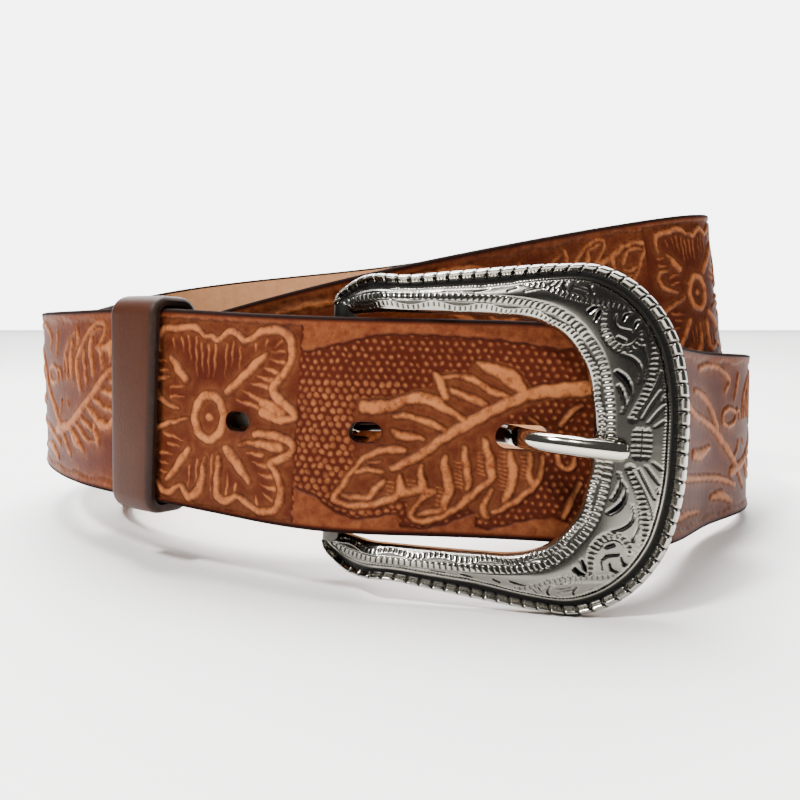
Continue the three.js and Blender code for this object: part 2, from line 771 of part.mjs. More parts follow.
function makePost(reach, name) {
  const { centre, travel, width, inward } = postStation(reach);
  const headFront = -strapThickness / 2 + postClearance * 0.5;
  const headBack = headFront + postHeadThickness;
  const backSeat = tailOffset(reach) + strapThickness / 2 + 2 * postClearance;
  const profile = [
    [0, headFront],
    [postHeadRadius, headFront],
    [postHeadRadius, headBack],
    [postBarrelRadius, headBack],
    [postBarrelRadius, backSeat],
    [postHeadRadius, backSeat],
    [postHeadRadius * 0.9, backSeat + postHeadThickness],
    [0, backSeat + postHeadThickness],
  ].map(([radius, height]) => new THREE.Vector2(radius, height));
  const solid = solidFromSoup(new THREE.LatheGeometry(profile, 20).toNonIndexed());
  const mesh = new THREE.Mesh(toGeometry(solid), postNickel);
  mesh.name = name;
  mesh.position.copy(centre);
  mesh.quaternion.setFromRotationMatrix(new THREE.Matrix4().makeBasis(width, inward, travel));
  return mesh;
}

// Assembly, moved so that the origin is under the middle of the whole belt

const belt = new THREE.Group();
belt.add(makeStrap(), makeKeeper(), makeBuckle());
postReaches.forEach((reach, k) => belt.add(makePost(reach, `fold_post_${k + 1}`)));
belt.updateMatrixWorld(true);
const bounds = new THREE.Box3().setFromObject(belt, true);
const middle = bounds.getCenter(new THREE.Vector3());
belt.position.set(-middle.x, -middle.y, -bounds.min.z);

export default belt;
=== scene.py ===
import math

import bpy
import numpy as np
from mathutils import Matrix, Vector


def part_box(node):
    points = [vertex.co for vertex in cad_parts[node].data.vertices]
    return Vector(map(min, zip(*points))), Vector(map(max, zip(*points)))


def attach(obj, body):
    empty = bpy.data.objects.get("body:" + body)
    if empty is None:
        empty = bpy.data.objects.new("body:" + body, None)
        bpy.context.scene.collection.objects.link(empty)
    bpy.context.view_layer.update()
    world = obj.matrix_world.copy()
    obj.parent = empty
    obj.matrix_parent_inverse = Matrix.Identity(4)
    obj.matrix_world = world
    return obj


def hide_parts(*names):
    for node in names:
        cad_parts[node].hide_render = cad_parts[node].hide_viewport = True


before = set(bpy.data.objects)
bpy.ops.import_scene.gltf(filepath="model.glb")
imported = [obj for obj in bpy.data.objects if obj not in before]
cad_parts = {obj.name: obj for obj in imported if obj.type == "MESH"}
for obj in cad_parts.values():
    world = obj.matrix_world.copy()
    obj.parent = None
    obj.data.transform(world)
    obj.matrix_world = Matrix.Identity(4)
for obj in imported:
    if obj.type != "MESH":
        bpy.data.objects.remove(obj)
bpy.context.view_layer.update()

# The strap's route, in millimetres from the buckle's heel bar

STRAP_W, STRAP_T, BEVEL = 38.0, 3.4, 0.7
LAYER_GAP = 0.35
PITCH = STRAP_T + LAYER_GAP
COIL_ACROSS, COIL_DEEP, STACK_LIFT = 188.0, 155.0, 38.6
BUCKLE_L, BUCKLE_H, FRAME_YAW = 61.5, 60.0, -13.6
FRONT_LIFT = (BUCKLE_H - STRAP_W) / 2 + 0.47
FRAME_STAND, FRAME_T = 6.2, 3.4
WINDOW_L, WINDOW_H = 46.4, STRAP_W + 2.4
BAR_R, BAR_GAP = 2.2, 0.35
TURN_R = BAR_R + BAR_GAP + STRAP_T / 2
EAR_STAND = PITCH + TURN_R
UNDER_FRAME = FRAME_STAND - STRAP_T / 2 - 1.75
TIP_REACH, TIP_HALF, TIP_TAPER = 182.0, 4.5, 30
TAIL_LENGTH, SLOT_RUN = 76.0, 9
KEEPER_AT, KEEPER_WIDE, KEEPER_WALL = 37, 12, 1.8
KEEPER_GAP, KEEPER_CORNER = .65, 2.2
POST_1, POST_2, POST_REST = 19, 64, 5.6

# along the buckle, out in front of its bar, share of the front lift, lean
BUCKLE_RUN = [
    (.97, -15, .58, 2), (.82, -2.8, .85, 3), (.623, UNDER_FRAME, .97, 4),
    (.328, (UNDER_FRAME + EAR_STAND) * .42, 1, 5), (0, EAR_STAND * 1.25, 1.04, 5.5),
    (-.328, EAR_STAND * .3, 1.1, 4),
]
# across, deep, share of the front lift, share of a stacked lap, lean
LEFT_BEND = [
    (-.202, .072, 1.2, 0, 2), (-.298, .178, 1.14, 0, 1), (-.379, .318, 1.12, 0, 0), (-.44, .482, 1.1, 0, 0),
    (-.446, .668, 1.1, 0, 0), (-.4, .83, 1.1, 0, 0), (-.3, .945, 1.1, 0, 0),
]
RISING_LAP = [
    (-.296, .91, .9, .3, 0), (-.145, .962, .6, .48, 0), (.005, .982, .3, .64, 0), (.155, .976, .1, .8, 1),
    (.3, .938, 0, .96, 3), (.427, .842, 0, 1.02, 5), (.506, .7, 0, 1.025, 7), (.527, .538, 0, 1.025, 8),
    (.462, .437, 0, .99, 6), (.36, .372, 0, .9, 4), (.252, .288, 0, .79, 3), (.134, .192, 0, .66, 2),
    (.008, .128, 0, .52, 1), (-.12, .153, 0, .36, 0), (-.231, .243, 0, .22, 0), (-.306, .366, 0, .08, 0),
]
FLOOR_LAP = [
    (-.335, .514, 0, 0, 0), (-.311, .669, 0, 0, 0), (-.231, .798, 0, 0, 0), (-.109, .863, 0, 0, 0),
    (.029, .888, 0, 0, 0), (.168, .888, 0, 0, 0), (.3, .856, 0, 0, 0), (.418, .785, 0, 0, 0),
    (.506, .675, .03, 0, 0), (.54, .527, .08, 0, 0), (.527, .385, .2, 0, 1), (.471, .275, .28, 0, 1),
    (.402, .182, .37, 0, 1),
]


def from_buckle(row, layer):
    along, out, front, lean = row
    yaw, run = math.radians(FRAME_YAW), along * BUCKLE_L
    x = run * math.cos(yaw) + out * math.sin(yaw)
    y = run * math.sin(yaw) - out * math.cos(yaw)
    return (x, y, front * FRONT_LIFT, lean, layer)


def from_heel(row, layer):
    across, deep, front, stack, lean = row
    return (across * COIL_ACROSS, deep * COIL_DEEP, front * FRONT_LIFT + stack * STACK_LIFT, lean, layer)


# x, y, lift, lean and layer at each control point; the inner lap begins to rise at the left bend's end
ROUTE = np.array(
    [from_buckle(r, 1) for r in BUCKLE_RUN[1:]] + [from_heel(r, 1) for r in LEFT_BEND[:5]]
    + [from_heel(LEFT_BEND[5][:2] + (1.1, 0.13, 0), 0.7)]
    + [from_heel(r, 0) for r in RISING_LAP + FLOOR_LAP] + [from_buckle(r, 0) for r in BUCKLE_RUN]
    + [from_heel(r, 0) for r in LEFT_BEND])
HEEL_1 = len(BUCKLE_RUN) - 3
HEEL_2 = len(ROUTE) - len(LEFT_BEND) - 2


def unit(a):
    return a / np.linalg.norm(a, axis=-1, keepdims=True)


def smooth(t):
    t = np.clip(t, 0, 1)
    return t * t * (3 - 2 * t)


def walk(points):
    """Length along a chain of points."""
    return np.concatenate([[0], np.cumsum(np.linalg.norm(np.diff(points, axis=0), axis=1))])


def circle(count):
    return np.linspace(0, 2 * np.pi, count + 1)[:-1]


def blend(pos):
    """The route's smooth spline at control point positions."""
    pos = np.atleast_1d(np.asarray(pos, float))
    first = np.clip(np.floor(pos).astype(int), 1, len(ROUTE) - 3)
    t = (pos - first)[:, None]
    weights = [(1 - t) ** 3, 3 * t ** 3 - 6 * t ** 2 + 4, -3 * t ** 3 + 3 * t ** 2 + 3 * t + 1, t ** 3]
    return sum(weights[k] / 6 * ROUTE[first - 1 + k] for k in range(4))


def stations(pos):
    """Centre, travel, inward normal and width axis of the strap at route positions."""
    row, before, after = blend(pos), blend(np.asarray(pos) - 0.001), blend(np.asarray(pos) + 0.001)
    travel = unit(after[:, :3] - before[:, :3])
    flat = unit(np.cross(travel, [0.0, 0.0, 1.0]))
    rise = np.cross(flat, travel)
    lean = np.radians(row[:, 3:4])
    inward = flat * np.cos(lean) + np.cross(travel, flat) * np.sin(lean)
    width = rise * np.cos(lean) + np.cross(travel, rise) * np.sin(lean)
    centre = row[:, :3].copy()
    centre[:, 2] += width[:, 2] * STRAP_W / 2
    centre += inward * row[:, 4:5] * PITCH
    return centre, travel, inward, width


FINE = np.arange(HEEL_1, len(ROUTE) - 2.001, 0.004)
ROUTE_LENGTH = walk(stations(FINE)[0])
RUN = ROUTE_LENGTH - np.interp(HEEL_2, FINE, ROUTE_LENGTH)
START = RUN[0]


def at(distance):
    """Stations at distances past the second meeting with the heel bar (negative before it)."""
    return stations(np.interp(distance, RUN, FINE))


# Tooling: each stroke runs through points of (distance, height, half width), in millimetres

MIDRIB = [
    (-12.3, -7.3, .5), (-15, -6, .7), (-18, -4.2, .8), (-20, -2.6, .85), (-22.5, -.9, .9), (-25, .6, .95),
    (-27.5, 2.2, 1), (-30, 3.6, 1), (-32.5, 4.9, 1), (-35, 6.1, 1.05), (-37.5, 6.9, 1.15), (-40, 7.3, 1.25),
    (-42.5, 7.7, 1.3), (-46, 8.3, 1.3),
]
LEAF = [
    MIDRIB,
    [(-7.4, 3.3, 1.2), (-10, 3.4, 1.15), (-12.5, 3.9, 1), (-15, 5, .85), (-17.5, 5.1, 1.1), (-19.5, 4.6, 1),
     (-21.5, 3.3, .8), (-23.5, 2.3, .6), (-25, 1.4, .45)],
    [(-12.4, 1.9, .35), (-14, 2, .5), (-16, 1.7, .55), (-18, 1.1, .6), (-20, .3, .65), (-21.3, -.1, .5)],
    [(-12.4, -.8, .45), (-13.5, -1.4, .8), (-15.5, -1.6, .7), (-17.5, -1.9, .45)],
    [(-19.7, 9.2, .6), (-20.3, 8, .75), (-21, 6.7, .8), (-21.3, 5.4, .7)],
    [(-20.5, 8.9, .35), (-22, 8.9, .35), (-24, 9.1, .45), (-26, 8.6, .6), (-28, 7.4, .6), (-30, 6.4, .6),
     (-31.8, 5.9, .4)],
    [(-22.5, 6.6, .5), (-24, 5.9, .6), (-26, 5.3, .8), (-27.5, 4.6, .6), (-28.3, 4.3, .35)],
    [(-26.7, 11.6, .3), (-28.4, 10.8, .8), (-30.6, 10, 1.25), (-32.6, 8.9, 1.4), (-34, 7.6, 1),
     (-34.9, 6.7, .4)],
    [(-14.3, -4.1, .55), (-12.5, -3.9, .7), (-10.5, -4.2, .6), (-8.5, -5, .5), (-6.8, -6.3, .42),
     (-5.5, -8.2, .42), (-4.2, -10.2, .5), (-2.9, -12.3, .6), (-3.1, -13.4, .55), (-5, -13.9, .55),
     (-7.5, -13.9, .6), (-10, -13.4, .6), (-12.5, -12.4, .75), (-15, -11.3, .75), (-17.5, -10.8, .7),
     (-19.8, -10.9, .35)],
    [(-4.3, -12.2, .35), (-6, -12.5, .5), (-8.3, -12.4, .5), (-9.5, -11.2, .6), (-11, -9.5, .5)],
    [(-6.4, -8, .35), (-8.5, -7.6, .5), (-10.6, -7.8, .4)],
    [(-8.2, -6.3, .2), (-10.4, -6.1, .25)],
    [(-13.8, -8.4, .4), (-13.9, -10, .75), (-14, -11.4, .9)],
    [(-17.4, -6.6, .4), (-17.4, -8, .55), (-17.6, -9.5, .8), (-18, -10.6, .8)],
    [(-21.5, -5.2, .6), (-21.6, -7, .75), (-22.2, -9, .9), (-22.4, -11, .9), (-21.8, -12.6, .8),
     (-21.6, -14, .4)],
    [(-24.9, -3.4, .55), (-25.1, -5, .6), (-25.4, -7, .65), (-25.8, -8.8, .6), (-25.6, -10.3, .5)],
    [(-28.4, -2, .6), (-28.9, -3.8, .75), (-29.5, -5.8, .9), (-29.7, -7.8, .7), (-29.4, -9, .5)],
    [(-32.8, -4, .5), (-33.3, -6, .8), (-33.5, -8, .9), (-33.2, -9.6, .7), (-32.6, -11.3, .8),
     (-32.2, -12.2, .5)],
    [(-36.3, -4, .5), (-36.2, -6, .5), (-36.4, -8, .6), (-36.9, -9, .5)],
    [(-19.9, -11, .35), (-18, -12.1, .5), (-16.5, -13.8, .45), (-15.8, -15.5, .5), (-17, -16.2, .5),
     (-19, -16.1, .55), (-21, -15.4, .55), (-23, -14.4, .6), (-25, -12.8, .65), (-27, -11, .65),
     (-29, -9.3, .6), (-30.2, -8.2, .45)],
    [(-17.2, -15, .3), (-19, -14.7, .45), (-21, -14.2, .5)],
    [(-29.9, -10.2, .3), (-29.2, -11.7, .45), (-28.6, -13.2, .7), (-28.7, -14.8, .5), (-29.4, -15.3, .25)],
    [(-30.2, -14.4, .4), (-32, -13.5, .45), (-34, -12.3, .5), (-36, -10.7, .55), (-37.7, -8.9, .55),
     (-38.4, -6.5, .4), (-38.3, -4, .35)],
    [(-40.8, -3.8, .5), (-41.4, -5.2, .55), (-42.6, -6, .5), (-43.9, -5.4, .5), (-44, -4, .4)],
    [(-41.2, 1.3, .45), (-42, 3, .5), (-43.3, 4.3, .4), (-44.5, 5.2, .3)],
    [(-43, -14.2, .6), (-43.8, -12, .6), (-44.6, -10, .5), (-45.4, -8.5, .4)],
    [(-36, 2.2, .35), (-37.2, 1.2, .35)],
]
# rows of short cuts: distance at both ends, first and last height
HATCHES = [
    (-11.6, -12.8, -9.8, -12.6), (-15, -16.4, -9.4, -11), (-20.2, -21.4, -10.6, -13.8),
    (-23.4, -24.6, -6, -11), (-27.3, -28.4, -4.2, -8.2), (-31, -32.5, -4, -11), (-34.9, -36, -4.6, -8.4),
]
FLOWER = [
    [(27.2, 14.2, .5), (28.3, 15.2, .6), (30, 15.8, .7), (32.5, 15.4, .7), (35, 15.2, .7), (37.3, 14.9, .7),
     (38.3, 13, .6), (37.8, 10.8, .4)],
    [(27.2, 14.1, .45), (25.5, 14.3, .5), (24, 13.5, .5), (23.2, 13.8, .55), (22, 14.9, .65),
     (20.5, 15.4, .7), (19, 14.9, .65), (17.4, 13.8, .55), (15.5, 14.5, .65), (13.5, 15.7, .75),
     (11, 16.1, .8), (9, 16, .8), (7.6, 15.2, .85), (6.7, 13.7, .8), (6.6, 12, .75), (6.9, 10.3, .7),
     (7.8, 8.8, .7), (9, 7.2, .8), (10.2, 6, .85)],
    [(10.2, 6, .85), (9.6, 4.4, .9), (7.6, 3, .9), (5.8, 1.8, .85), (5.2, .7, .6), (7, .1, .7),
     (9.5, .3, .9), (12, 1.2, 1)],
    [(12.5, 2.8, .7), (10.5, 2.4, 1.0), (8.2, 1.4, .9)],
    [(13.5, -3, .6), (11, -2.8, .75), (8.5, -3, .8), (6.2, -3.5, .75), (5.3, -4.6, .7), (5.8, -5.8, .7),
     (7.3, -6.8, .8), (9, -7.4, .8), (9.8, -8.2, .6)],
    [(17.2, -5.3, .3), (14, -4.7, .5), (10.5, -4.8, .9), (8, -5, .9)],
    [(9.8, -8.2, .6), (8.6, -9.3, .7), (7.6, -11, .7), (7.1, -13, .7), (7.4, -14.8, .8), (8.3, -16.2, .75),
     (10, -16.8, .7), (12, -16.8, .65), (14, -16.1, .6), (15.7, -15.2, .55), (17, -14.9, .5),
     (18.5, -15.8, .7), (20.5, -16.2, .85), (21.8, -15, .85), (22, -12, .7), (21.9, -9.5, .7),
     (22, -8.3, .5)],
    [(25.4, -9, .45), (25.6, -11.5, .7), (25.9, -14, .9), (27, -15.7, 1), (28.7, -16.8, .8),
     (30, -15.8, .65), (31, -14.7, .5), (32.5, -15.6, .6), (34.5, -16.6, .7), (36.5, -16.2, .6),
     (37.6, -14.6, .5)],
    [(30, -1.7, .25), (31.5, -2.2, .4), (34, -2.9, .5), (36.5, -3.6, .6), (38.3, -4.5, .7), (39, -6, .75),
     (39, -7.4, .6), (38.3, -8.6, .4)],
    [(32.5, -.1, .3), (34.5, .4, .5), (36.5, 1, .6), (38.3, 2.6, .7), (39, 4.1, .6), (38, 5.4, .6),
     (36.5, 5.6, .4), (35, 5.8, .25)],
    [(20.7, 4.2, .7), (18.5, 6.1, .85), (16, 8.3, .85), (13.5, 10.5, .75), (12, 11.6, .4)],
    [(31, 5.6, .85), (33, 7.6, .85), (34.8, 9.7, .45)],
    [(20.3, -6.5, .85), (18, -8.3, 1), (16, -10.2, .9), (14.3, -11.9, .5)],
    [(29.6, -7.8, .75), (31.5, -10.2, .8), (33.5, -12.8, .75), (35, -14, .4)],
]
# tapering cuts: distance and height of both ends, half width
STREAKS = [
    (10.5, 5.6, 15.4, 6.2, .42), (10, 7, 13.9, 7.5, .4), (9, 8.3, 12.7, 9.3, .4), (8, 10.3, 11.4, 10.8, .3),
    (8.2, 12.3, 11, 12.2, .28), (12.6, 3.2, 17.3, 4.7, .45), (13.2, 1.9, 18.6, 2.9, .4),
    (9, 14.2, 10.4, 13, .25), (12, 14.2, 12.6, 13, .25), (14.6, 13.4, 14.8, 12, .25),
    (11.8, -6.6, 15.2, -6.7, .4), (10, -8.6, 13.8, -8.2, .38), (9.2, -10.5, 12.3, -10.1, .36),
    (8.6, -12.5, 11.4, -12.1, .36), (8.8, -14.4, 11.1, -13.6, .3), (12, -15.6, 12.6, -14, .25),
    (17.4, -12.6, 17.5, -14.6, .3), (19.5, -14.8, 19.4, -11, .25), (36, -5.2, 31, -6.1, .32),
    (34.8, -7, 32, -7.4, .3), (37, -9, 33, -9.1, .34), (37, -10.7, 34.6, -11.1, .3),
    (36.9, -12.6, 34.9, -12.7, .28), (34.8, 3.8, 31.4, 4.4, .26), (34.6, 2.1, 31.4, 2.4, .26),
    (38, 7.2, 35.4, 7, .3), (38, 9, 36, 8.8, .25), (18.3, 12.6, 18.2, 8.6, .22), (20, 13.4, 20.2, 9.2, .25),
    (21.6, 13, 21.6, 6.8, .22), (24.2, 12.6, 24.3, 6.4, .28), (25.9, 12.6, 25.6, 6.6, .25),
    (27.6, 12.6, 27, 7.4, .25), (29, 13.8, 28.4, 6.4, .25), (30.8, 13.8, 30, 9.4, .25),
    (32.4, 13.6, 31.8, 11, .22), (34.4, 13.2, 34.2, 11.4, .22), (27.2, -9.4, 27.4, -13.6, .25),
    (29, -10.6, 29.2, -14.8, .22), (23.6, -8, 23.6, -15, .22),
]
VINE = [
    [(-46, 8.3, 1.3), (-53, 11, 1.2), (-62, 12, 1.1), (-72, 10.5, 1), (-85, 6.2, .95), (-93, 4.6, .9),
     (-100, 3, .9), (-106, .6, 1), (-114, -3.8, 1), (-121, -9, .8), (-126, -13, .6)],
    [(-86, 10.6, .6), (-92, 9.8, .9), (-97, 8.3, 1), (-101, 6, 1), (-105, 2.4, .9)],
    [(-58, -5, .7), (-72, -6.5, .9), (-85, -7.4, .8), (-98, -8.2, .8), (-108, -9.2, .8), (-118, -11.4, .8)],
    [(-86, -2.5, 1.1), (-93, -2.9, 1.3), (-100, -1.7, .6)],
    [(-102, -13, .6), (-109, -13, 1.2), (-116, -15, .7)],
    [(-90, 15.2, .6), (-98, 16, .7), (-106, 15.4, .7), (-112, 13, .6), (-110, 10.4, .5)],
    [(-52, 0, .6), (-56, 3, .8), (-61, 3.6, .8), (-65, 1, .8), (-64, -2.2, .7), (-60.5, -2.8, .6),
     (-59.4, -.8, .4)],
    [(-68, 3.4, .6), (-73, 5.2, .8), (-79, 3.4, .8), (-82, .2, .6), (-78.5, -1.4, .5)],
    [(-48, -13.6, .6), (-55, -11.4, .8), (-63, -12, .8), (-72, -14.2, .8), (-82, -14.2, .7),
     (-92, -14.8, .5)],
    [(-52, -7, .6), (-49.5, -9.6, .6), (-52, -11.8, .5)],
    [(-56, 7.4, .5), (-62, 7.6, .8), (-67, 7, .4)],
    [(-76, 14.6, .5), (-70, 15.4, .7), (-63, 15.4, .4)],
]
# the oval in the flower's middle and a bud on the vine: centre, half sizes and half width of the line
OVALS = [(24.8, -1, 3.5, 4.2, .85), (-113, 4.4, 4.6, 2, .6)]
SEED = [(24.9, -1.1, .7), (24.6, -1.1, .7)]
PERIOD, VINE_END, LEAF_TURN = 200.6, -158.6, -161.6
# inner edges of the smooth bands above and below, as (distance, height)
TOP_BAND = [
    (4.4, 13), (2.5, 13.2), (0, 14), (-2.5, 14.6), (-5, 15.2), (-7.5, 15.9), (-10, 16.4), (-15, 16.5),
    (-20, 16.4), (-25, 16.2), (-30, 15.9), (-35, 15.4), (-40, 14.8), (-46, 15.6), (-60, 17),
]
LOW_BAND = [
    (4.3, -12), (2.5, -12.5), (.5, -13.2), (-1, -14.2), (-2.5, -15.2), (-4, -16), (-6, -16.6),
    (-8.5, -16.4), (-11, -15.8), (-13.8, -15.3), (-13.9, -17.5), (-17, -18), (-20, -17.6), (-22.5, -16.8),
    (-25, -15.6), (-27, -15), (-27.2, -17.3), (-29.5, -17.6), (-32, -17), (-35, -16), (-38, -15.3),
    (-41, -15), (-46, -16.2), (-60, -17.2),
]
# each band's edge and side, the distance from which it runs straight, and its height there
PLAIN_BANDS = [(TOP_BAND, 1, 4.4, 17.6), (LOW_BAND, -1, 4.3, 18.2)]
LEAF_PATCH = [
    (-4, -14.8), (-1.8, -12.5), (-5.8, -6), (-5.6, 2), (-6, 4.8), (-12, 5.4), (-17, 6.9), (-19.2, 7.4),
    (-19, 9.9), (-25, 9.8), (-26.2, 12), (-31, 11.9), (-34, 10.4), (-36, 7.6), (-46, 10), (-46, 6.4),
    (-40, 5.8), (-36, 4.4), (-32, 2.2), (-31, 0), (-39, -3.4), (-39, -7), (-37.5, -10), (-34, -13),
    (-30.5, -15), (-28.5, -16), (-26, -13.4), (-23, -15.4), (-19, -17), (-15.2, -16.6), (-15, -12.8),
    (-12, -13.6), (-8, -14.8),
]
GROUND_START, GROUND_END, WAVE_END = -52, 5.0, -56
PEBBLE_PITCH, PEBBLE_SWAY, HATCH_PITCH = 1.42, .09, 0.72
# punched holes: middle, length and width; the prong's own hole comes first
PRONG_HOLE, HOLE_PITCH, HOLE_DROP = -33.0, 25.4, -1.1
HOLES = [(PRONG_HOLE - 1.95, 9.5, 4.4)] + [(PRONG_HOLE + k * HOLE_PITCH, 5.6, 3.6) for k in (-1, 1, 2, 3)]
CELL, SHEET_HALF, FAR = 0.1, 19.4, 99.0


def turned(points):
    """The same points turned half round, for the leaf at the vine's other end."""
    return [(LEAF_TURN - u, -v, *r) for u, v, *r in points]


def dense(rows, parts=5):
    """A smooth chain through a stroke's points."""
    rows = np.array(rows, float)
    if len(rows) < 3:
        return rows
    ends = np.vstack([2 * rows[0] - rows[1], rows, 2 * rows[-1] - rows[-2]])
    out = []
    for k in range(1, len(ends) - 2):
        a, b, c, d = ends[k - 1:k + 3]
        bend, twist = 2 * a - 5 * b + 4 * c - d, 3 * b - a - 3 * c + d
        for t in np.arange(parts) / parts:
            out.append(0.5 * (2 * b + (c - a) * t + bend * t ** 2 + twist * t ** 3))
    return np.array(out + [rows[-1]])


def chain_distance(gu, gv, chain, taper=1):
    """Signed distance to a chain of round strokes, negative inside, and the length along it."""
    best, along, start = np.full(gu.shape, FAR), np.zeros(gu.shape), 0
    for (ua, va, ra), (ub, vb, rb) in zip(chain[:-1], chain[1:]):
        du, dv = ub - ua, vb - va
        t = np.clip(((gu - ua) * du + (gv - va) * dv) / max(du * du + dv * dv, 1e-9), 0, 1)
        gap = np.hypot(gu - ua - t * du, gv - va - t * dv) - (ra + (rb - ra) * t * taper)
        closer = gap < best
        best = np.where(closer, gap, best)
        along = np.where(closer, start + t * math.hypot(du, dv), along)
        start += math.hypot(du, dv)
    return best, along


class Sheet:
    """A fine grid over one patterned area, for layers of distances and heights in millimetres."""

    def __init__(self, u0, u1, v0, v1, cell):
        self.u0, self.v0, self.cell = u0, v0, cell
        self.us = np.arange(u0, u1 + cell / 2, cell)
        self.vs = np.arange(v0, v1 + cell / 2, cell)
        self.gu, self.gv = np.meshgrid(self.us, self.vs)

    def layer(self):
        return np.full(self.gu.shape, FAR)

    def stroke(self, layer, chain, reach=3.0):
        """Lowers a layer to the distance from a chain, as far as reach beyond its points."""
        chain = np.asarray(chain)
        low, high = chain[:, :2].min(0) - reach, chain[:, :2].max(0) + reach
        a, b = np.searchsorted(self.us, [low[0], high[0]])
        c, d = np.searchsorted(self.vs, [low[1], high[1]])
        if a < b and c < d:
            part = np.s_[c:d, a:b]
            layer[part] = np.minimum(layer[part], chain_distance(self.gu[part], self.gv[part], chain)[0])

    def read(self, layer, u, v):
        x = np.clip((u - self.u0) / self.cell, 0, len(self.us) - 1.001)
        y = np.clip((v - self.v0) / self.cell, 0, len(self.vs) - 1.001)
        i, j = x.astype(int), y.astype(int)
        fx, fy = x - i, y - j
        return ((layer[j, i] * (1 - fx) + layer[j, i + 1] * fx) * (1 - fy)
                + (layer[j + 1, i] * (1 - fx) + layer[j + 1, i + 1] * fx) * fy)


def in_polygon(gu, gv, points):
    inside = np.zeros(gu.shape, bool)
    for (ua, va), (ub, vb) in zip(points, points[1:] + points[:1]):
        if va != vb:
            crosses = (gv < va) != (gv < vb)
            inside ^= crosses & (gu < ua + (gv - va) * (ub - ua) / (vb - va))
    return inside


def draw_strokes(sheet):
    """Distances to the bold strokes and to the fine cuts."""
    bold, fine = sheet.layer(), sheet.layer()
    for rows in LEAF + FLOWER + VINE + [turned(rows) for rows in LEAF]:
        sheet.stroke(bold, dense(rows))
    for ua, va, ub, vb, r in STREAKS:
        sheet.stroke(fine, [(ua, va, r), ((ua + ub) / 2, (va + vb) / 2, r * 0.9), (ub, vb, r * 0.2)])
    for ua, ub, va, vb in HATCHES:
        for v in np.arange(va, vb, -HATCH_PITCH):
            sheet.stroke(fine, [(ua, v + 0.25, .09), (ub, v, .14)])
    for cu, cv, half_u, half_v, thick in OVALS:
        turn = np.linspace(0, 2 * np.pi, 33)
        ring = [cu + half_u * np.cos(turn), cv + half_v * np.sin(turn), np.full(len(turn), thick)]
        sheet.stroke(bold, np.stack(ring, 1))
    sheet.stroke(fine, SEED)
    return bold, fine


def from_bands(sheet):
    """Distance from the smooth bands along both edges, nought inside them."""
    gap = np.zeros(sheet.gu.shape)
    wave = 17.1 + 0.35 * np.sin(sheet.gu * 2 * np.pi / 14)
    for rows, side, plain_start, plain in PLAIN_BANDS:
        edge = np.interp(-sheet.gu, [-u for u, v in rows], [side * v for u, v in rows])
        edge = np.where(sheet.gu > plain_start, plain, edge)
        edge = np.where(sheet.gu < WAVE_END, wave, edge)
        own_half = sheet.gv > 0 if side > 0 else sheet.gv <= 0
        gap += np.maximum(edge - side * sheet.gv, 0) * own_half
    return gap


def scatter_pebbles(sheet):
    """Distance to the seeds of the pebbled ground, which are larger beside the flower."""
    rng = np.random.default_rng(7)
    pebbles = sheet.layer()
    row_pitch = PEBBLE_PITCH * 0.87
    for row in range(int(STRAP_W / row_pitch) + 1):
        v = -18.6 + row * row_pitch
        for u in np.arange(VINE_END + (row % 2) * PEBBLE_PITCH / 2, GROUND_END + .5, PEBBLE_PITCH):
            pu, pv = u + rng.normal(0, PEBBLE_SWAY), v + rng.normal(0, PEBBLE_SWAY)
            large = -14 < pu < 5 and pv < 8
            r = .32 + .17 * large + rng.uniform(-.06, .06)
            if pu < -46:
                r = .3
            i, j = int((pu - sheet.u0) / CELL), int((pv - sheet.v0) / CELL)
            part = np.s_[max(j - 6, 0):j + 7, max(i - 6, 0):i + 7]
            gap = np.hypot(sheet.gu[part] - pu, sheet.gv[part] - pv) - r
            pebbles[part] = np.minimum(pebbles[part], gap)
    return pebbles


def make_tooling():
    """Height in mm above the strap's face, warmth (rubbed light, with painted light beside the strokes and on
    the pebbles) and darkness (stain, with painted shade in the recesses), for one repeat.
    """
    sheet = Sheet(VINE_END, VINE_END + PERIOD, -SHEET_HALF, SHEET_HALF, CELL)
    bold, fine = draw_strokes(sheet)
    band = from_bands(sheet)
    bold = np.minimum(bold, band * 0.9 - 0.25)
    ground = (sheet.gu < GROUND_END) & (sheet.gu > GROUND_START)
    for patch in (LEAF_PATCH, turned(LEAF_PATCH)):
        ground &= ~in_polygon(sheet.gu, sheet.gv, patch)
    dots = smooth((.16 - scatter_pebbles(sheet)) / .34) * ground
    dots *= smooth((GROUND_END - sheet.gu) / .6) * smooth((bold - .15) / .4)
    raised = smooth((.16 - bold) / .34)
    soft = smooth((.34 - bold) / .85)
    vein = smooth((.14 - fine) / .34) * (1 - raised)
    crease = np.exp(-((bold - .12) / .2) ** 2)
    dome, outside = np.clip(-bold, 0, 1.0), np.maximum(bold, 0)
    on_vine = sheet.gu < GROUND_START
    floor = np.where(on_vine, -.42, -.52) - .12 * np.exp(-outside / .5)
    # painted light: the ground close beside the raised strokes is made lighter, standing in for light on
    # their slopes; the same falloff also lifts that ground a little
    halo = np.exp(-outside / 1.2) * (1 - raised) * ~ground
    # the smooth bands are painted darker, partly their own duller tone and partly painted shade
    broad = 1 - smooth(band / .8)
    height = floor * (1 - raised) + raised * (-.2 + .26 * dome) + halo * .1 + vein * .18 + dots * .32
    warm = soft * (.62 + .42 * np.minimum(dome * 1.6, 1)) * (1 - .6 * broad)
    # pebble tops are lighter, partly rubbed and partly a painted highlight
    warm += vein * .6 + dots * .5 + halo * .34
    dark = crease * .7 * (1 - raised * .8) * (1 - dots)
    # the recesses are darkened, partly by stain and partly as painted shade, more in the leaf and flower than
    # on the vine
    dark += np.where(on_vine, .14, .36) * (1 - raised) * (1 - dots) * (1 - vein)
    return sheet, [height, np.clip(warm, 0, 1), np.clip(dark, 0, 1)]


SHEET, TOOLED = make_tooling()


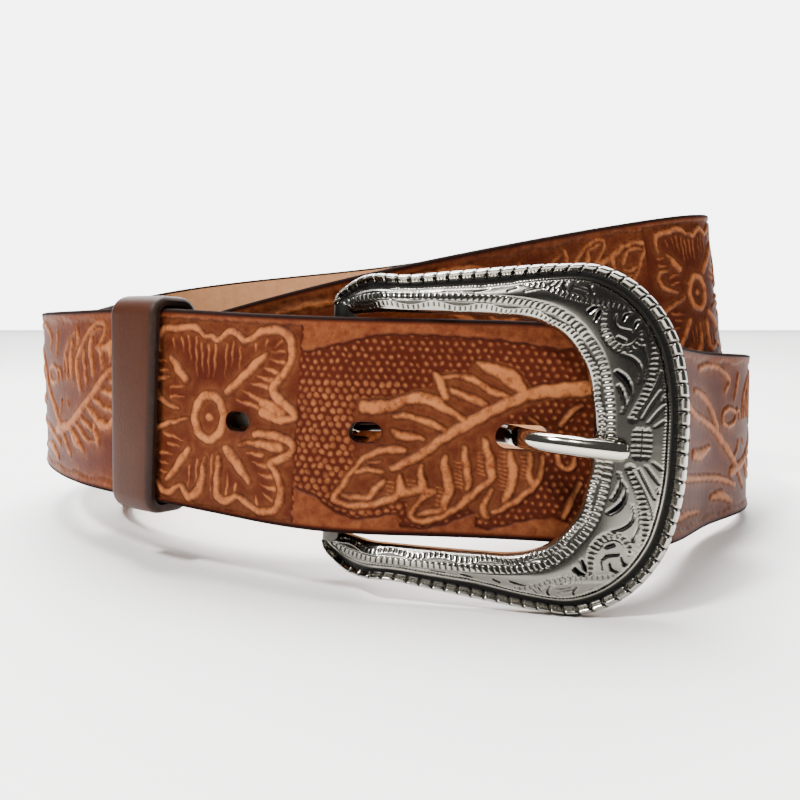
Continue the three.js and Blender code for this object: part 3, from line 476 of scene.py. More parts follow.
def tooling(u, v):
    """Height, warmth and darkness at strap points, with lines a little unsteady as if cut by hand."""
    cut_u = u + .1 * np.sin(v * 1.9 + u * .7) + .035 * np.sin(v * 4.3 - u * 1.9 + 1.3)
    cut_v = v + .1 * np.sin(u * 1.7 - v * .8) + .035 * np.sin(u * 4.1 + v * 1.7 + 2.1)
    wrapped = (cut_u - VINE_END) % PERIOD + VINE_END
    return [SHEET.read(layer, wrapped, cut_v) for layer in TOOLED]


# Meshes

def new_piece(name, points, faces, material, attributes):
    mesh = bpy.data.meshes.new(name)
    faces = np.asarray(faces, np.int32)
    mesh.vertices.add(len(points))
    mesh.vertices.foreach_set("co", np.asarray(points, np.float32).ravel())
    mesh.loops.add(faces.size)
    mesh.loops.foreach_set("vertex_index", faces.ravel())
    mesh.polygons.add(len(faces))
    mesh.polygons.foreach_set("loop_start", np.arange(0, faces.size, faces.shape[1], dtype=np.int32))
    mesh.polygons.foreach_set("use_smooth", np.ones(len(faces), bool))
    mesh.update(calc_edges=True)
    for key, values in attributes.items():
        mesh.attributes.new(key, "FLOAT", "POINT").data.foreach_set("value", np.asarray(values, np.float32))
    mesh.materials.append(material)
    obj = bpy.data.objects.new(name, mesh)
    bpy.context.scene.collection.objects.link(obj)
    return obj


def grid_faces(rows, columns, keep=None, flip=False, wrap=False):
    """Four-sided faces of a grid of points; keep says which ones stay, wrap closes the rows."""
    r, c = np.meshgrid(np.arange(rows - 1), np.arange(columns if wrap else columns - 1), indexing="ij")
    if keep is not None:
        r, c = r[keep], c[keep]
    a, b = r * columns + c, r * columns + (c + 1) % columns
    quad = np.stack([a, b, b + columns, a + columns], -1).reshape(-1, 4)
    return quad[:, ::-1] if flip else quad


class Build:
    """Gathers the grids of one piece with a value at each point for its material."""

    def __init__(self):
        self.points, self.faces, self.values, self.count = [], [], {}, 0

    def add(self, points, faces, **values):
        self.faces.append(faces + self.count)
        self.points.append(points.reshape(-1, 3))
        for key, value in values.items():
            spread = np.broadcast_to(np.asarray(value, float), points.shape[:-1])
            self.values.setdefault(key, []).append(spread.ravel())
        self.count += len(self.points[-1])

    def finish(self, name, material, offset):
        points = (np.vstack(self.points) + offset) * 0.001
        attributes = {key: np.concatenate(parts) for key, parts in self.values.items()}
        return new_piece(name, points, np.vstack(self.faces), material, attributes)


def hole_field(u, v):
    """Signed distance to the nearest punched hole, negative inside."""
    best = np.full(np.shape(u), FAR)
    for middle, length, width in HOLES:
        beyond = np.maximum(np.abs(u - middle) - (length - width) / 2, 0)
        best = np.minimum(best, np.hypot(beyond, v - HOLE_DROP) - width / 2)
    return best


def strap_half(u):
    """Half the strap's width, which narrows to the tip."""
    to_end = np.clip((TIP_REACH - u) / TIP_TAPER, 0, 1)
    return TIP_HALF + (STRAP_W / 2 - TIP_HALF) * np.sin(to_end * np.pi / 2) ** 0.8


def snap_to_holes(u, v, step):
    """Moves the grid points near a hole's wall onto it."""
    tiny = 1e-3
    for _ in range(3):
        gap = hole_field(u, v)
        near = np.abs(gap) < 0.75 * step
        slope_u = (hole_field(u + tiny, v) - gap) / tiny
        slope_v = (hole_field(u, v + tiny) - gap) / tiny
        u, v = np.where(near, u - slope_u * gap, u), np.where(near, v - slope_v * gap, v)
    return u, v


def strap_sheet(build, st, u, count, side, slot=None):
    """One face of the strap: side -1 is the tooled grain, +1 the flesh. The slot is for the prong's curl."""
    centre, travel, inward, width = st
    half = (strap_half(u) - BEVEL)[:, None]
    uu, vv = np.broadcast_arrays(u[:, None], np.linspace(-1, 1, count) * half)
    if slot is not None:
        beside = (np.abs(vv) < 2.8) & (uu > slot[0] - 1) & (uu < slot[1] + 1)
        vv = np.where(beside, np.sign(vv + 1e-9) * 2.45, vv)
    holes, keep = hole_field(uu, vv), None
    if holes.min() < 0.3:
        uu, vv = snap_to_holes(uu, vv, u[1] - u[0])
        holes = hole_field(uu, vv)
        corners = np.stack([holes[:-1, :-1], holes[1:, :-1], holes[:-1, 1:], holes[1:, 1:]])
        keep = corners.mean(0) > 0.002
    if slot is not None:
        middle_u, middle_v = (uu[:-1, :-1] + uu[1:, :-1]) / 2, (vv[:-1, :-1] + vv[:-1, 1:]) / 2
        keep = ~((np.abs(middle_v) < 2.4) & (middle_u > slot[0]) & (middle_u < slot[1]))
    depth, warm, dark = np.zeros(uu.shape), 0.0, 0.0
    if side < 0:
        depth, warm, dark = tooling(uu, vv)
        lip = np.exp(-np.maximum(holes, 0) / .35)
        rim = smooth((1.3 - (half + BEVEL - np.abs(vv))) / .6)
        depth = (depth * (1 - lip) - .25 * lip) * (1 - rim) - .05 * rim
        warm, dark = warm * (1 - rim), np.maximum.reduce([dark, .75 * lip, rim * .8])
    along, out = (uu - u[:, None])[..., None], (STRAP_T / 2 + depth)[..., None] * side
    points = centre[:, None] + travel[:, None] * along + width[:, None] * vv[..., None]
    build.add(points + inward[:, None] * out, grid_faces(len(u), count, keep=keep, flip=side > 0),
              warm=warm, dark=dark, flesh=side > 0, edge=0)


def strap_edges(build, st, u):
    """Both rounded edges, from face to face."""
    centre, _, inward, width = st
    half = strap_half(u)[:, None]
    turn = np.linspace(0, np.pi, 9)
    for side in (-1, 1):
        rows = []
        for a in turn:
            face = -math.cos(a)
            out = face * (STRAP_T / 2 - BEVEL) + math.copysign(BEVEL * abs(face) ** 0.7, face)
            across = side * (half - BEVEL + BEVEL * math.sin(a) ** 0.6)
            rows.append(centre + inward * out + width * across)
        build.add(np.stack(rows, 1), grid_faces(len(u), len(turn), flip=side < 0),
                  warm=0, dark=0, flesh=0, edge=1)


def hole_walls(build, u0, u1):
    turn = circle(48)
    for middle, length, width in HOLES:
        if u0 < middle < u1:
            beyond = np.sign(np.cos(turn)) * (np.abs(np.cos(turn)) > 1e-6) * (length - width) / 2
            centre, _, inward, across = at(middle + beyond + width / 2 * np.cos(turn))
            line = centre + across * (HOLE_DROP + width / 2 * np.sin(turn))[:, None]
            rows = [line + inward * (out - STRAP_T / 2) for out in (.25, .6, STRAP_T)]
            build.add(np.stack(rows), grid_faces(3, len(turn), flip=True, wrap=True),
                      warm=0, dark=1, flesh=0, edge=.8)


def strap_piece(name, u0, u1, step, coarse, material, offset):
    """A length of the strap; its flesh side has a coarser grid."""
    def spaced(size):
        return np.linspace(u0, u1, int(round((u1 - u0) / size)) + 1)

    build = Build()
    slot = (START, START + SLOT_RUN) if u0 <= START + 1 else None
    for side, size in ((-1, step), (1, step * coarse)):
        u = spaced(size)
        strap_sheet(build, at(u), u, int(STRAP_W / size), side, slot)
    u = spaced(step * 2)
    strap_edges(build, at(u), u)
    hole_walls(build, u0, u1)
    return build.finish(name, material, offset)


def tail_offset(reach):
    """How far inside the strap its tail lies: at the bar, at both posts and over the keeper."""
    over = PITCH + KEEPER_WALL + 1.3
    stops = [(0, 2 * TURN_R), (POST_1 - POST_REST, PITCH), (POST_1 + POST_REST, PITCH),
             (KEEPER_AT - KEEPER_WALL, over), (KEEPER_AT + KEEPER_WIDE + KEEPER_WALL, over),
             (POST_2 - POST_REST, PITCH), (TAIL_LENGTH + 1, PITCH)]
    for (ra, oa), (rb, ob) in zip(stops[:-1], stops[1:]):
        if reach <= rb:
            return oa + (ob - oa) * float(smooth((reach - ra) / (rb - ra)))
    return PITCH


def fold_piece(material, offset):
    """The tail behind the buckle and the strap's turn round the heel bar."""
    heel = at(np.array([START]))
    reaches = np.linspace(TAIL_LENGTH, 0, 77)
    c, t, i, w = at(START + reaches)
    lift = np.array([tail_offset(r) for r in reaches])[:, None]
    tail = (c + i * lift, -t, -i, w)
    angle = np.linspace(0, np.pi, 26)[1:-1]
    centre, travel, inward, width = heel
    out = inward * np.cos(angle)[:, None] - travel * np.sin(angle)[:, None]
    side = np.repeat(width, len(angle), 0)
    turn = (centre + inward * TURN_R + out * TURN_R, -unit(np.cross(side, -out)), -out, side)
    st = [np.vstack(parts) for parts in zip(tail, turn, heel)]
    round_bar = np.pi * TURN_R
    u = START + np.concatenate([-round_bar - reaches, TURN_R * angle - round_bar, [0]])
    build = Build()
    for face in (-1, 1):
        strap_sheet(build, st, u, 40, face, (START - round_bar - SLOT_RUN, START + 1))
    strap_edges(build, st, u)
    return build.finish("strap_fold", material, offset)


# Materials

def srgb(*rgb):
    return tuple(c / 255 / 12.92 if c / 255 <= .04045 else ((c / 255 + .055) / 1.055) ** 2.4 for c in rgb)


class Shade:
    """A Principled material with short names for the nodes that feed it."""

    def __init__(self, name):
        self.material = bpy.data.materials.new(name)
        self.material.use_nodes = True
        self.nodes = self.material.node_tree.nodes

    def feed(self, node, **values):
        """Sets inputs to numbers or colours, or links them; a key is an input's name or number."""
        for key, value in values.items():
            socket = node.inputs[int(key[1:]) if key[1:].isdigit() else key.replace("_", " ")]
            if isinstance(value, (int, float)):
                socket.default_value = value
            elif isinstance(value, tuple):
                socket.default_value = (*value, 1)
            else:
                self.material.node_tree.links.new(value, socket)

    def attribute(self, name):
        node = self.nodes.new("ShaderNodeAttribute")
        node.attribute_name = name
        return node.outputs["Fac"]

    def mix(self, share, low, high):
        node = self.nodes.new("ShaderNodeMix")
        node.data_type = "RGBA"
        self.feed(node, _0=share, _6=low, _7=high)
        return node.outputs[2]

    def maths(self, kind, a, b, clamp=False):
        node = self.nodes.new("ShaderNodeMath")
        node.operation = kind
        node.use_clamp = clamp
        self.feed(node, _0=a, _1=b)
        return node.outputs[0]

    def noise(self, scale, detail, rough):
        node = self.nodes.new("ShaderNodeTexNoise")
        place = self.nodes.new("ShaderNodeTexCoord").outputs["Object"]
        self.feed(node, Scale=scale, Detail=detail, Roughness=rough, Vector=place)
        return node.outputs["Fac"]

    def grain(self, scale, strength, distance):
        node = self.nodes.new("ShaderNodeBump")
        self.feed(node, Strength=strength, Distance=distance, Height=self.noise(scale, 3, .6))
        return node.outputs["Normal"]

    def finish(self, **values):
        self.feed(self.nodes["Principled BSDF"], **values)
        return self.material


def leather_material():
    """Tan leather, light where it is raised and rubbed and with painted light beside the strokes and on the
    pebbles, dark in the cuts and recesses from stain and painted shade, with bare flesh and black edges.
    """
    shade = Shade("tooled_leather")
    warm, flesh, edge = (shade.attribute(name) for name in ("warm", "flesh", "edge"))
    blotch, fibre = shade.noise(90, 5, .6), shade.noise(420, 6, .7)
    speck = shade.maths("MULTIPLY", shade.maths("SUBTRACT", shade.noise(620, 5, .7), .52), 3.6)
    # rubbed lightness together with the painted light from the tooling
    worn_and_lit = shade.maths("ADD", warm, shade.maths("MULTIPLY", speck, warm), clamp=True)
    low = shade.mix(blotch, srgb(57, 20, 10), srgb(82, 33, 18))
    high = shade.mix(blotch, srgb(124, 67, 36), srgb(170, 108, 64))
    # stain together with painted shade in the recesses
    stain_and_shade = shade.maths("MULTIPLY", shade.attribute("dark"), .72)
    colour = shade.mix(stain_and_shade, shade.mix(worn_and_lit, low, high), srgb(20, 6, 3))
    colour = shade.mix(flesh, colour, shade.mix(fibre, srgb(152, 108, 74), srgb(192, 148, 110)))
    colour = shade.mix(edge, colour, shade.mix(fibre, srgb(14, 7, 5), srgb(34, 18, 13)))
    untooled = shade.maths("MAXIMUM", flesh, edge)
    rough = shade.maths("ADD", .46, shade.maths("MULTIPLY", untooled, .4))
    return shade.finish(Base_Color=colour, Roughness=rough, Specular_IOR_Level=.16, IOR=1.2,
                        Normal=shade.grain(1500, .35, .00025))


def plain_leather_material():
    shade = Shade("plain_leather")
    face = shade.mix(shade.noise(60, 5, .6), srgb(46, 20, 9), srgb(62, 32, 17))
    edge = shade.mix(shade.noise(700, 4, .8), srgb(18, 10, 8), srgb(52, 34, 27))
    return shade.finish(Base_Color=shade.mix(shade.attribute("edge"), face, edge), Roughness=.5,
                        Specular_IOR_Level=.14, Normal=shade.grain(1300, .3, .0002))


def silver_material():
    """Aged silver plate, black and a little rougher in the cuts."""
    shade = Shade("aged_silver")
    tone = shade.mix(shade.noise(220, 4, .6), srgb(134, 131, 123), srgb(172, 168, 158))
    cut = shade.attribute("cut")
    deep = shade.maths("POWER", cut, 4.0)
    rough = shade.maths("ADD", .18, shade.maths("MULTIPLY", deep, .35))
    return shade.finish(Base_Color=shade.mix(cut, tone, srgb(5, 6, 7)), Roughness=rough, Metallic=1)


def metal_material(name, colour, rough):
    shade = Shade(name)
    scratch = shade.maths("MULTIPLY", shade.noise(500, 3, .6), .08)
    # on the prong this darkening is painted shade where it goes into its hole, and its curl round the bar is
    # darker too
    tone = shade.mix(shade.attribute("cut"), srgb(*colour), srgb(30, 20, 15))
    return shade.finish(Base_Color=tone, Roughness=shade.maths("ADD", scratch, rough), Metallic=1)


# Buckle

# shares of the buckle's length and half height, then of the window's
FRAME_OUTLINE = [
    (-.04, .735, -.01, 1), (-.03, .8, .03, 1), (.01, .87, .075, 1), (.055, .905, .12, 1),
    (.11, .908, .18, 1), (.2, .895, .285, 1), (.33, .92, .43, 1), (.49, .953, .6, .995),
    (.64, .977, .72, .985), (.74, .975, .81, .935), (.825, .905, .87, .855), (.9, .775, .92, .735),
    (.957, .59, .957, .59), (.985, .39, .98, .4), (.998, .19, .993, .2), (1, 0, 1, 0),
]
ROPE_PITCH, NOTCH_DEPTH, CUT_DEPTH = 2.33, .42, .16


def centripetal(points, position):
    """The same spline as the solid's outline."""
    points = np.asarray(points, float)
    last = len(points) - 1
    pos = np.clip(np.atleast_1d(position), 0, last - 1e-9)
    k = pos.astype(int)
    w = (pos - k)[:, None]
    ends = np.vstack([2 * points[0] - points[1], points, 2 * points[-1] - points[-2]])
    p0, p1, p2, p3 = (ends[k + step] for step in range(4))
    d0, d1, d2 = (np.maximum(np.linalg.norm(b - a, axis=1, keepdims=True) ** .5, 1e-4)
                  for a, b in ((p0, p1), (p1, p2), (p2, p3)))
    t1 = ((p1 - p0) / d0 - (p2 - p0) / (d0 + d1) + (p2 - p1) / d1) * d1
    t2 = ((p2 - p1) / d1 - (p3 - p1) / (d1 + d2) + (p3 - p2) / d2) * d1
    c2, c3 = -3 * p1 + 3 * p2 - 2 * t1 - t2, 2 * p1 - 2 * p2 + t1 + t2
    return p1 + t1 * w + c2 * w ** 2 + c3 * w ** 3


def outline_points(points, position):
    """The outline from one arm's end to the other's; the second half mirrors the first."""
    last = len(points) - 1
    mirrored = position > last
    out = centripetal(points, np.where(mirrored, 2 * last - position, position))
    out[mirrored, 1] *= -1
    return out


def back_stand(x):
    """How far the frame's back stands in front of the bar's centre."""
    share = x / BUCKLE_L
    bowed = FRAME_STAND - (2 * share - 1) ** 2 * np.where(share > .5, 1, .3)
    low = -FRAME_T / 2
    return low + (bowed - low) * smooth((x + 1) / 12)


# engraved cuts on the lower half, (along, height, half width); the upper half mirrors them
CUTS = [
    [(52.7, -.5, .12), (55.3, -.5, .12)], [(52.7, -1.3, .12), (55.3, -1.3, .12)],
    [(52.9, -2.1, .12), (55.1, -2.1, .12)], [(53.2, 0, .1), (53.2, -2.5, .1)],
    [(54, 0, .1), (54, -2.5, .1)], [(54.8, 0, .1), (54.8, -2.5, .1)],
    [(50, -14.5, .16), (51.5, -14, .24), (52.8, -13, .24), (53.3, -11.6, .18), (53, -9.9, .1)],
    [(53.4, -15.8, .3), (53.9, -14.5, .16), (54.3, -12.5, .14), (54, -10.4, .1)],
    [(49.5, -11.5, .36), (50.7, -10.6, .46), (51.6, -9.3, .34), (51.9, -7.5, .2), (51.4, -6.4, .12)],
    [(49.9, -9.3, .24), (50.6, -8, .28), (51, -6.3, .2), (50.7, -4.9, .12)],
    [(49.3, -17.1, .28), (50.5, -16.6, .28)],
    [(48.9, -20.8, .16), (48.7, -19.6, .24), (49.4, -18.6, .24), (51.5, -18.2, .2)],
    [(51.8, -18.8, .26), (52.3, -19.8, .32), (53.5, -19.8, .2), (54.2, -18.9, .1)],
    [(50, -20, .32), (50.4, -20.9, .32), (51.7, -21.2, .14)],
    [(44.5, -21.2, .42), (45.2, -21.8, .42), (46.2, -22, .2)],
    [(45.6, -19.8, .3), (46.1, -21, .42), (46.4, -21.6, .16)],
    [(53.8, -4, .1), (55.2, -6.6, .18), (56.5, -8.8, .1)],
    [(54.9, -3.5, .1), (56.2, -5.2, .18), (57.2, -6.4, .1)],
    [(56, -2.9, .1), (57.2, -3.8, .18), (57.8, -4.2, .1)],
    [(52.6, -4.2, .1), (54.6, -7.3, .18), (56, -10.5, .18), (56.6, -13.3, .1)],
    [(56.9, -7, .1), (57.5, -9.5, .18), (57.2, -12, .1)],
    [(57, -14.5, .1), (56.6, -17, .2), (55.4, -19.6, .1)],
    [(40.6, -24.5, .16), (40.2, -25.6, .26), (41, -26.4, .26), (42.2, -26.1, .12)],
    [(41.5, -25, .1), (44, -24.2, .1)], [(41.8, -25.5, .1), (44.2, -24.8, .1)],
    [(45, -24.2, .16), (44.4, -25.2, .24), (44.9, -26.2, .2)],
    [(45.8, -26, .1), (47, -24.8, .22), (49, -23.8, .1)],
    [(47.8, -26.3, .1), (49.5, -25, .2), (52, -23.9, .1)],
    [(49.6, -26.3, .1), (51, -25.3, .18), (53, -23.9, .1)],
    [(37.8, -25.3, .14), (39, -26.4, .1)], [(38.7, -24.9, .14), (39.6, -26, .1)],
    [(31, -24.2, .14), (32.3, -24.7, .18)],
    [(33.8, -24.2, .12), (35.2, -24.6, .2), (36.8, -24.8, .1)],
    [(25.4, -23.9, .14), (27, -24.3, .2), (28.6, -24.9, .1)],
    [(19, -23.5, .1), (21, -23.9, .16), (23, -24, .1)],
    [(3.5, -23.4, .1), (6, -23.7, .16), (8.5, -23.5, .1)],
    [(12, -23.2, .1), (14, -23.6, .16), (16, -23.4, .1)],
]
# ribbons bordered by ticks: centre line and half width
RIBBONS = [
    [(52.4, -4, .42), (54, -7.6, .42), (55, -11, .42), (55.3, -14, .42), (55, -17, .42), (54, -19.8, .42),
     (52, -21.6, .42), (48.5, -22.4, .42), (44, -22.9, .42), (40.5, -23.8, .42), (37, -25.1, .42),
     (33, -25.9, .4), (29.5, -26, .38)],
    [(47, -21.6, .4), (47, -19, .42), (47.8, -16.8, .42), (49.6, -15.4, .42), (51.6, -15.5, .42),
     (53, -17, .4), (53, -17.8, .3)],
]


def ticks(length, pitch, bias=.05, soft=.6):
    """Short cuts that repeat along a line."""
    return smooth((np.cos(length * 2 * np.pi / pitch) + bias) / soft)


def line_at(value, middle):
    return np.exp(-((value - middle) / .09) ** 2)


def make_engraving():
    sheet = Sheet(-4, 63, -31, 1.5, .08)
    cuts, ribbon, length = sheet.layer(), sheet.layer(), 0
    for rows in CUTS:
        sheet.stroke(cuts, dense(rows), 2.2)
    for rows in RIBBONS:
        gap, along = chain_distance(sheet.gu, sheet.gv, dense(rows, 8), taper=0)
        length = np.where(gap < ribbon, along, length)
        ribbon = np.minimum(gap, ribbon)
    ticked = smooth((.1 - ribbon) / .2) * ticks(length, .86, soft=.7)
    return sheet, np.maximum.reduce([smooth((.08 - cuts) / .16), ticked * .9, line_at(ribbon, .16) * .7])


def buckle_lines():
    """Outer and inner outline at even steps, with the lengths along the rim and along the field."""
    outer = [(a * BUCKLE_L, b * BUCKLE_H / 2) for a, b, _, _ in FRAME_OUTLINE]
    inner = [(c * WINDOW_L, d * WINDOW_H / 2) for _, _, c, d in FRAME_OUTLINE]
    fine = np.linspace(0, 2 * (len(outer) - 1), 4001)
    edge, window = outline_points(outer, fine), outline_points(inner, fine)
    rim_length, field_length = walk(edge), walk(edge * .3 + window * .7)
    s = np.linspace(0, rim_length[-1], 900)
    pos = np.interp(s, rim_length, fine)
    s_field = np.interp(pos, fine, field_length)
    return outline_points(outer, pos), outline_points(inner, pos), s[:, None], s_field[:, None]


def cast_section(across, breadth, rim, groove):
    """Height of the cast face as a share of its thickness: rounded field, groove and domed rim."""
    field = breadth - rim - groove
    knots = [0 * breadth, rim * .4, (breadth - rim) * .45, field - groove * .6, field, breadth - rim,
             breadth - rim * .35, breadth]
    levels = [.5, .78, 1, .8, .45, .45, .74, .2]

    def rising(t):
        return np.sin(t * np.pi / 2)

    def falling(t):
        return 1 - np.cos(t * np.pi / 2)

    eases = [rising, rising, falling, smooth, smooth, smooth, lambda t: t ** 1.6]
    height = np.zeros_like(across)
    for k, ease in enumerate(eases):
        span = (across >= knots[k]) & (across <= knots[k + 1] + 1e-9)
        t = np.clip((across - knots[k]) / (knots[k + 1] - knots[k]), 0, 1)
        height = np.where(span, levels[k] + (levels[k + 1] - levels[k]) * ease(t), height)
    return height


def engrave(across, field, s, s_field, cut):
    """Shares of cut and patina: a wavy ribbon and a ticked band by the window, a fringe by the groove."""
    to_groove = field - across
    band = smooth((across - 2.15) / .12) * smooth((3.35 - across) / .12) * ticks(s_field, 1.02)
    lines = line_at(across, 2.1) + line_at(across, 3.42)
    wave = 1.15 + .32 * np.sin(s_field * 2 * np.pi / 8.8)
    ribbon = smooth((.42 - np.abs(across - wave)) / .1) * ticks(s_field, .94)
    lens = smooth((across - wave - .5) / .12) * smooth((1.98 - across) / .12)
    fringe = smooth(to_groove / .1) * smooth((.75 - to_groove) / .15) * ticks(s, .6, bias=.1)
    clear = smooth((across - 3.5) / .15) * smooth((to_groove - .8) / .15)
    inside = (to_groove > 0) & (across > .5)
    engraved = np.maximum.reduce([cut * clear, band * .9, lines * .8, ribbon * .85, lens * .85, fringe * .8])
    patina = .52 * clear * (1 - smooth((cut - .02) / .1))
    return engraved * inside, patina * inside


def buckle_piece(place):
    outer, inner, s, s_field = buckle_lines()
    gap = outer - inner
    breadth = np.linalg.norm(gap, axis=1)[:, None]
    gap /= breadth
    rim, groove = np.minimum(2.2, breadth * .26), np.minimum(1.0, breadth * .12)
    field = breadth - rim - groove
    # distances from the window: across the engraved field, then over groove and roped rim
    across = np.hstack([np.linspace(0, 1, 54) * field, field + np.linspace(0, 1, 13)[1:] * (rim + groove)])
    from_rim = breadth - across

    def on_frame(across):
        return [inner[:, axis, None] + gap[:, axis, None] * across for axis in (0, 1)]

    def put(x, z, height):
        return place(x, z, -(back_stand(x) + height))

    x, z = on_frame(across)
    sheet, cut_map = make_engraving()
    engraved, patina = engrave(across, field, s, s_field, sheet.read(cut_map, x, -np.abs(z)))
    turn = s / s[-1] * int(round(s[-1, 0] / ROPE_PITCH))
    notch = smooth((np.cos(2 * np.pi * (turn + (from_rim - 1) * .06)) - .78) / .16)
    notch *= smooth((rim - from_rim) / .3)
    in_groove = .97 * smooth((from_rim - rim * .72) / .3) * smooth((rim + groove * 1.1 - from_rim) / .45)
    height = cast_section(across, breadth, rim, groove) * FRAME_T - notch * NOTCH_DEPTH - engraved * CUT_DEPTH
    dirt = np.clip(np.maximum.reduce([engraved, in_groove, notch, patina]), 0, 1)
    build = Build()
    build.add(put(x, z, height), grid_faces(*across.shape, flip=True), cut=dirt)
    # outer wall, back and inner wall: shares of the breadth and of the thickness on both sides
    for shares, levels in (((1, 1), (.2, 0)), ((1, 0), (0, 0)), ((0, 0), (0, .5))):
        wall = put(*on_frame(breadth * np.array(shares)), np.array(levels) * FRAME_T)
        build.add(wall, grid_faces(*wall.shape[:2], flip=True), cut=0)
    # the cut ends of both arms
    for row in (0, -1):
        end = np.stack([put(x[row], z[row], height[row]), put(x[row], z[row], 0)])
        build.add(end, grid_faces(*end.shape[:2], flip=row == 0), cut=.75)
    # the heel bar
    turn = circle(32)
    bar_ends = np.array([[-1], [1]]) * (WINDOW_H / 2 + 1.5)
    bar = place(BAR_R * np.cos(turn), bar_ends, BAR_R * np.sin(turn))
    build.add(bar, grid_faces(*bar.shape[:2], wrap=True), cut=.8)
    return build


def prong_piece(place, hole):
    """The prong through its hole, which is given along, away and up in the buckle's own axes."""
    radius, overlap, slot, clearance, flat = 1.75, 5.6, 9.5, .35, .93
    inner_r, outer_r = BAR_R + BAR_GAP, BAR_R + BAR_GAP + 1.2
    tip = WINDOW_L + overlap
    rest = float(back_stand(np.array(tip))) + FRAME_T + clearance + radius
    behind = UNDER_FRAME - STRAP_T / 2 - clearance - radius
    hx, _, hz = hole
    # along, out and share of the radius, from the bar to the tip
    rows = np.array([
        (0, outer_r * .5, .75), (outer_r, outer_r * .35, .8), (hx * .41, behind * .5, .9),
        (hx * .75, behind * 1.3, .95), (hx - slot * .27, behind, 1), (hx - slot * .03, rest * .4, 1),
        (hx + slot * .22, rest * .75, 1), (hx + slot * .5, rest * .89, 1), (WINDOW_L * .93, rest * .96, 1),
        (WINDOW_L, rest, 1), (tip - radius * 1.2, rest * 1.005, 1), (tip - radius * .3, rest, .85),
        (tip, rest * .985, .4)])
    pos = np.concatenate([np.arange(1, 12, .12), np.linspace(11, 12, 12)[1:]])
    path = centripetal(rows[:, :2], pos)
    along = path[:, :1]
    thick = np.interp(pos, np.arange(len(rows)), rows[:, 2] * radius)[:, None]
    to_tip = np.clip((tip + .1 - along) / radius, 0, 1)
    domed = radius * np.sqrt(np.clip(1 - (1 - to_tip) ** 2, .02, 1))
    thick = np.where(pos[:, None] > 10.3, domed, thick)
    lift = (hz - (along - hx) / (tip - hx)) * smooth(2 * along / hx)
    travel = unit(np.gradient(path, axis=0))
    turn = circle(28)
    ring = thick * np.cos(turn) * flat
    x, out, z = along - travel[:, 1:] * ring, path[:, 1:] + travel[:, :1] * ring, lift + thick * np.sin(turn)
    build = Build()
    # painted shade: the prong is darkened where it goes into its hole
    build.add(place(x, z, -out), grid_faces(*x.shape, wrap=True), cut=smooth((hx + 1.6 - along) / 1.6))
    cap = [np.append(line[-1], line[-1].mean()) for line in (x, z, -out)]
    rim, last = np.arange(len(turn)), np.full(len(turn), len(turn))
    build.add(place(*cap), np.stack([rim, (rim + 1) % len(turn), last, last], 1), cut=0)
    # the curl round the bar, with its corners rounded
    wide, bevel = radius * .95, .2
    section = [(inner_r, -wide), (outer_r - bevel, -wide), (outer_r, bevel - wide)]
    section = np.array(section + [(r, -w) for r, w in section[::-1]])
    around = np.linspace(0, 2 * np.pi, 41)[:, None]
    curl = place(np.cos(around) * section[:, 0], section[:, 1], np.sin(around) * section[:, 0])
    build.add(curl, grid_faces(*curl.shape[:2], wrap=True), cut=.4)
    return build


def keeper_piece():
    """The loop round two layers, with softened outer edges."""
    half_deep, half_high = STRAP_T + LAYER_GAP / 2 + KEEPER_GAP, STRAP_W / 2 + KEEPER_GAP
    share = np.array([0, .02, .06, .12, .3, .5, .7, .88, .94, .98, 1])
    dip = np.array([.5, .2, .06, 0, 0, 0, 0, 0, .06, .2, .5]) * KEEPER_WALL
    centre, _, inward, width = at(KEEPER_AT + share * KEEPER_WIDE)
    angles = np.concatenate([(quarter + np.linspace(.02, .98, 12)) * np.pi / 2 for quarter in range(4)])

    def ring(k, offset):
        corner = KEEPER_CORNER + offset
        deep = np.sign(np.cos(angles)) * (half_deep - KEEPER_CORNER) + corner * np.cos(angles)
        high = np.sign(np.sin(angles)) * (half_high - KEEPER_CORNER) + corner * np.sin(angles)
        return centre[k] + inward[k] * (PITCH / 2 + deep)[:, None] + width[k] * high[:, None]

    build, last = Build(), len(share) - 1
    outer = np.stack([ring(k, KEEPER_WALL - dip[k]) for k in range(last + 1)])
    build.add(outer, grid_faces(*outer.shape[:2], wrap=True), edge=(dip > .05)[:, None])
    inner = np.stack([ring(0, 0), ring(last, 0)])
    build.add(inner, grid_faces(*inner.shape[:2], wrap=True, flip=True), edge=.7)
    for k, flip in ((0, False), (last, True)):
        side = np.stack([ring(k, 0), ring(k, KEEPER_WALL - dip[k])])
        build.add(side, grid_faces(*side.shape[:2], wrap=True, flip=flip), edge=1)
    return build


def find_offset():
    """Where the heel bar lies in the frame, from the box of the strap's solid."""
    u = np.arange(START + 5, TIP_REACH, 2.0)
    centre, _, inward, width = at(u)
    half = strap_half(u)[:, None]
    points = np.vstack([centre + width * half * side + inward * STRAP_T / 2 * face
                        for side in (-1, 1) for face in (-1, 1)])
    low, high = (np.array(corner) * 1000 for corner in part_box("strap"))
    middle = (low + high) / 2 - (points.min(0) + points.max(0)) / 2
    return np.array([middle[0], high[1] - points.max(0)[1], low[2] - points.min(0)[2]])


# Camera, floor and lights, in metres

def add_camera():
    data = bpy.data.cameras.new("camera")
    data.sensor_width = 36
    data.lens = 41.085
    data.clip_start = 0.01
    camera = bpy.data.objects.new("camera", data)
    camera.location = (0.00281, -0.23272, 0.0499)
    camera.rotation_euler = (math.radians(90 - 5.26), 0, 0)
    bpy.context.scene.collection.objects.link(camera)
    bpy.context.scene.camera = camera


def area_light(name, place, aim, size, power):
    data = bpy.data.lights.new(name, "AREA")
    data.shape = "RECTANGLE"
    data.size, data.size_y = size
    data.energy = power
    lamp = bpy.data.objects.new(name, data)
    lamp.location = place
    lamp.rotation_euler = (Vector(place) - Vector(aim)).to_track_quat("Z", "Y").to_euler()
    bpy.context.scene.collection.objects.link(lamp)


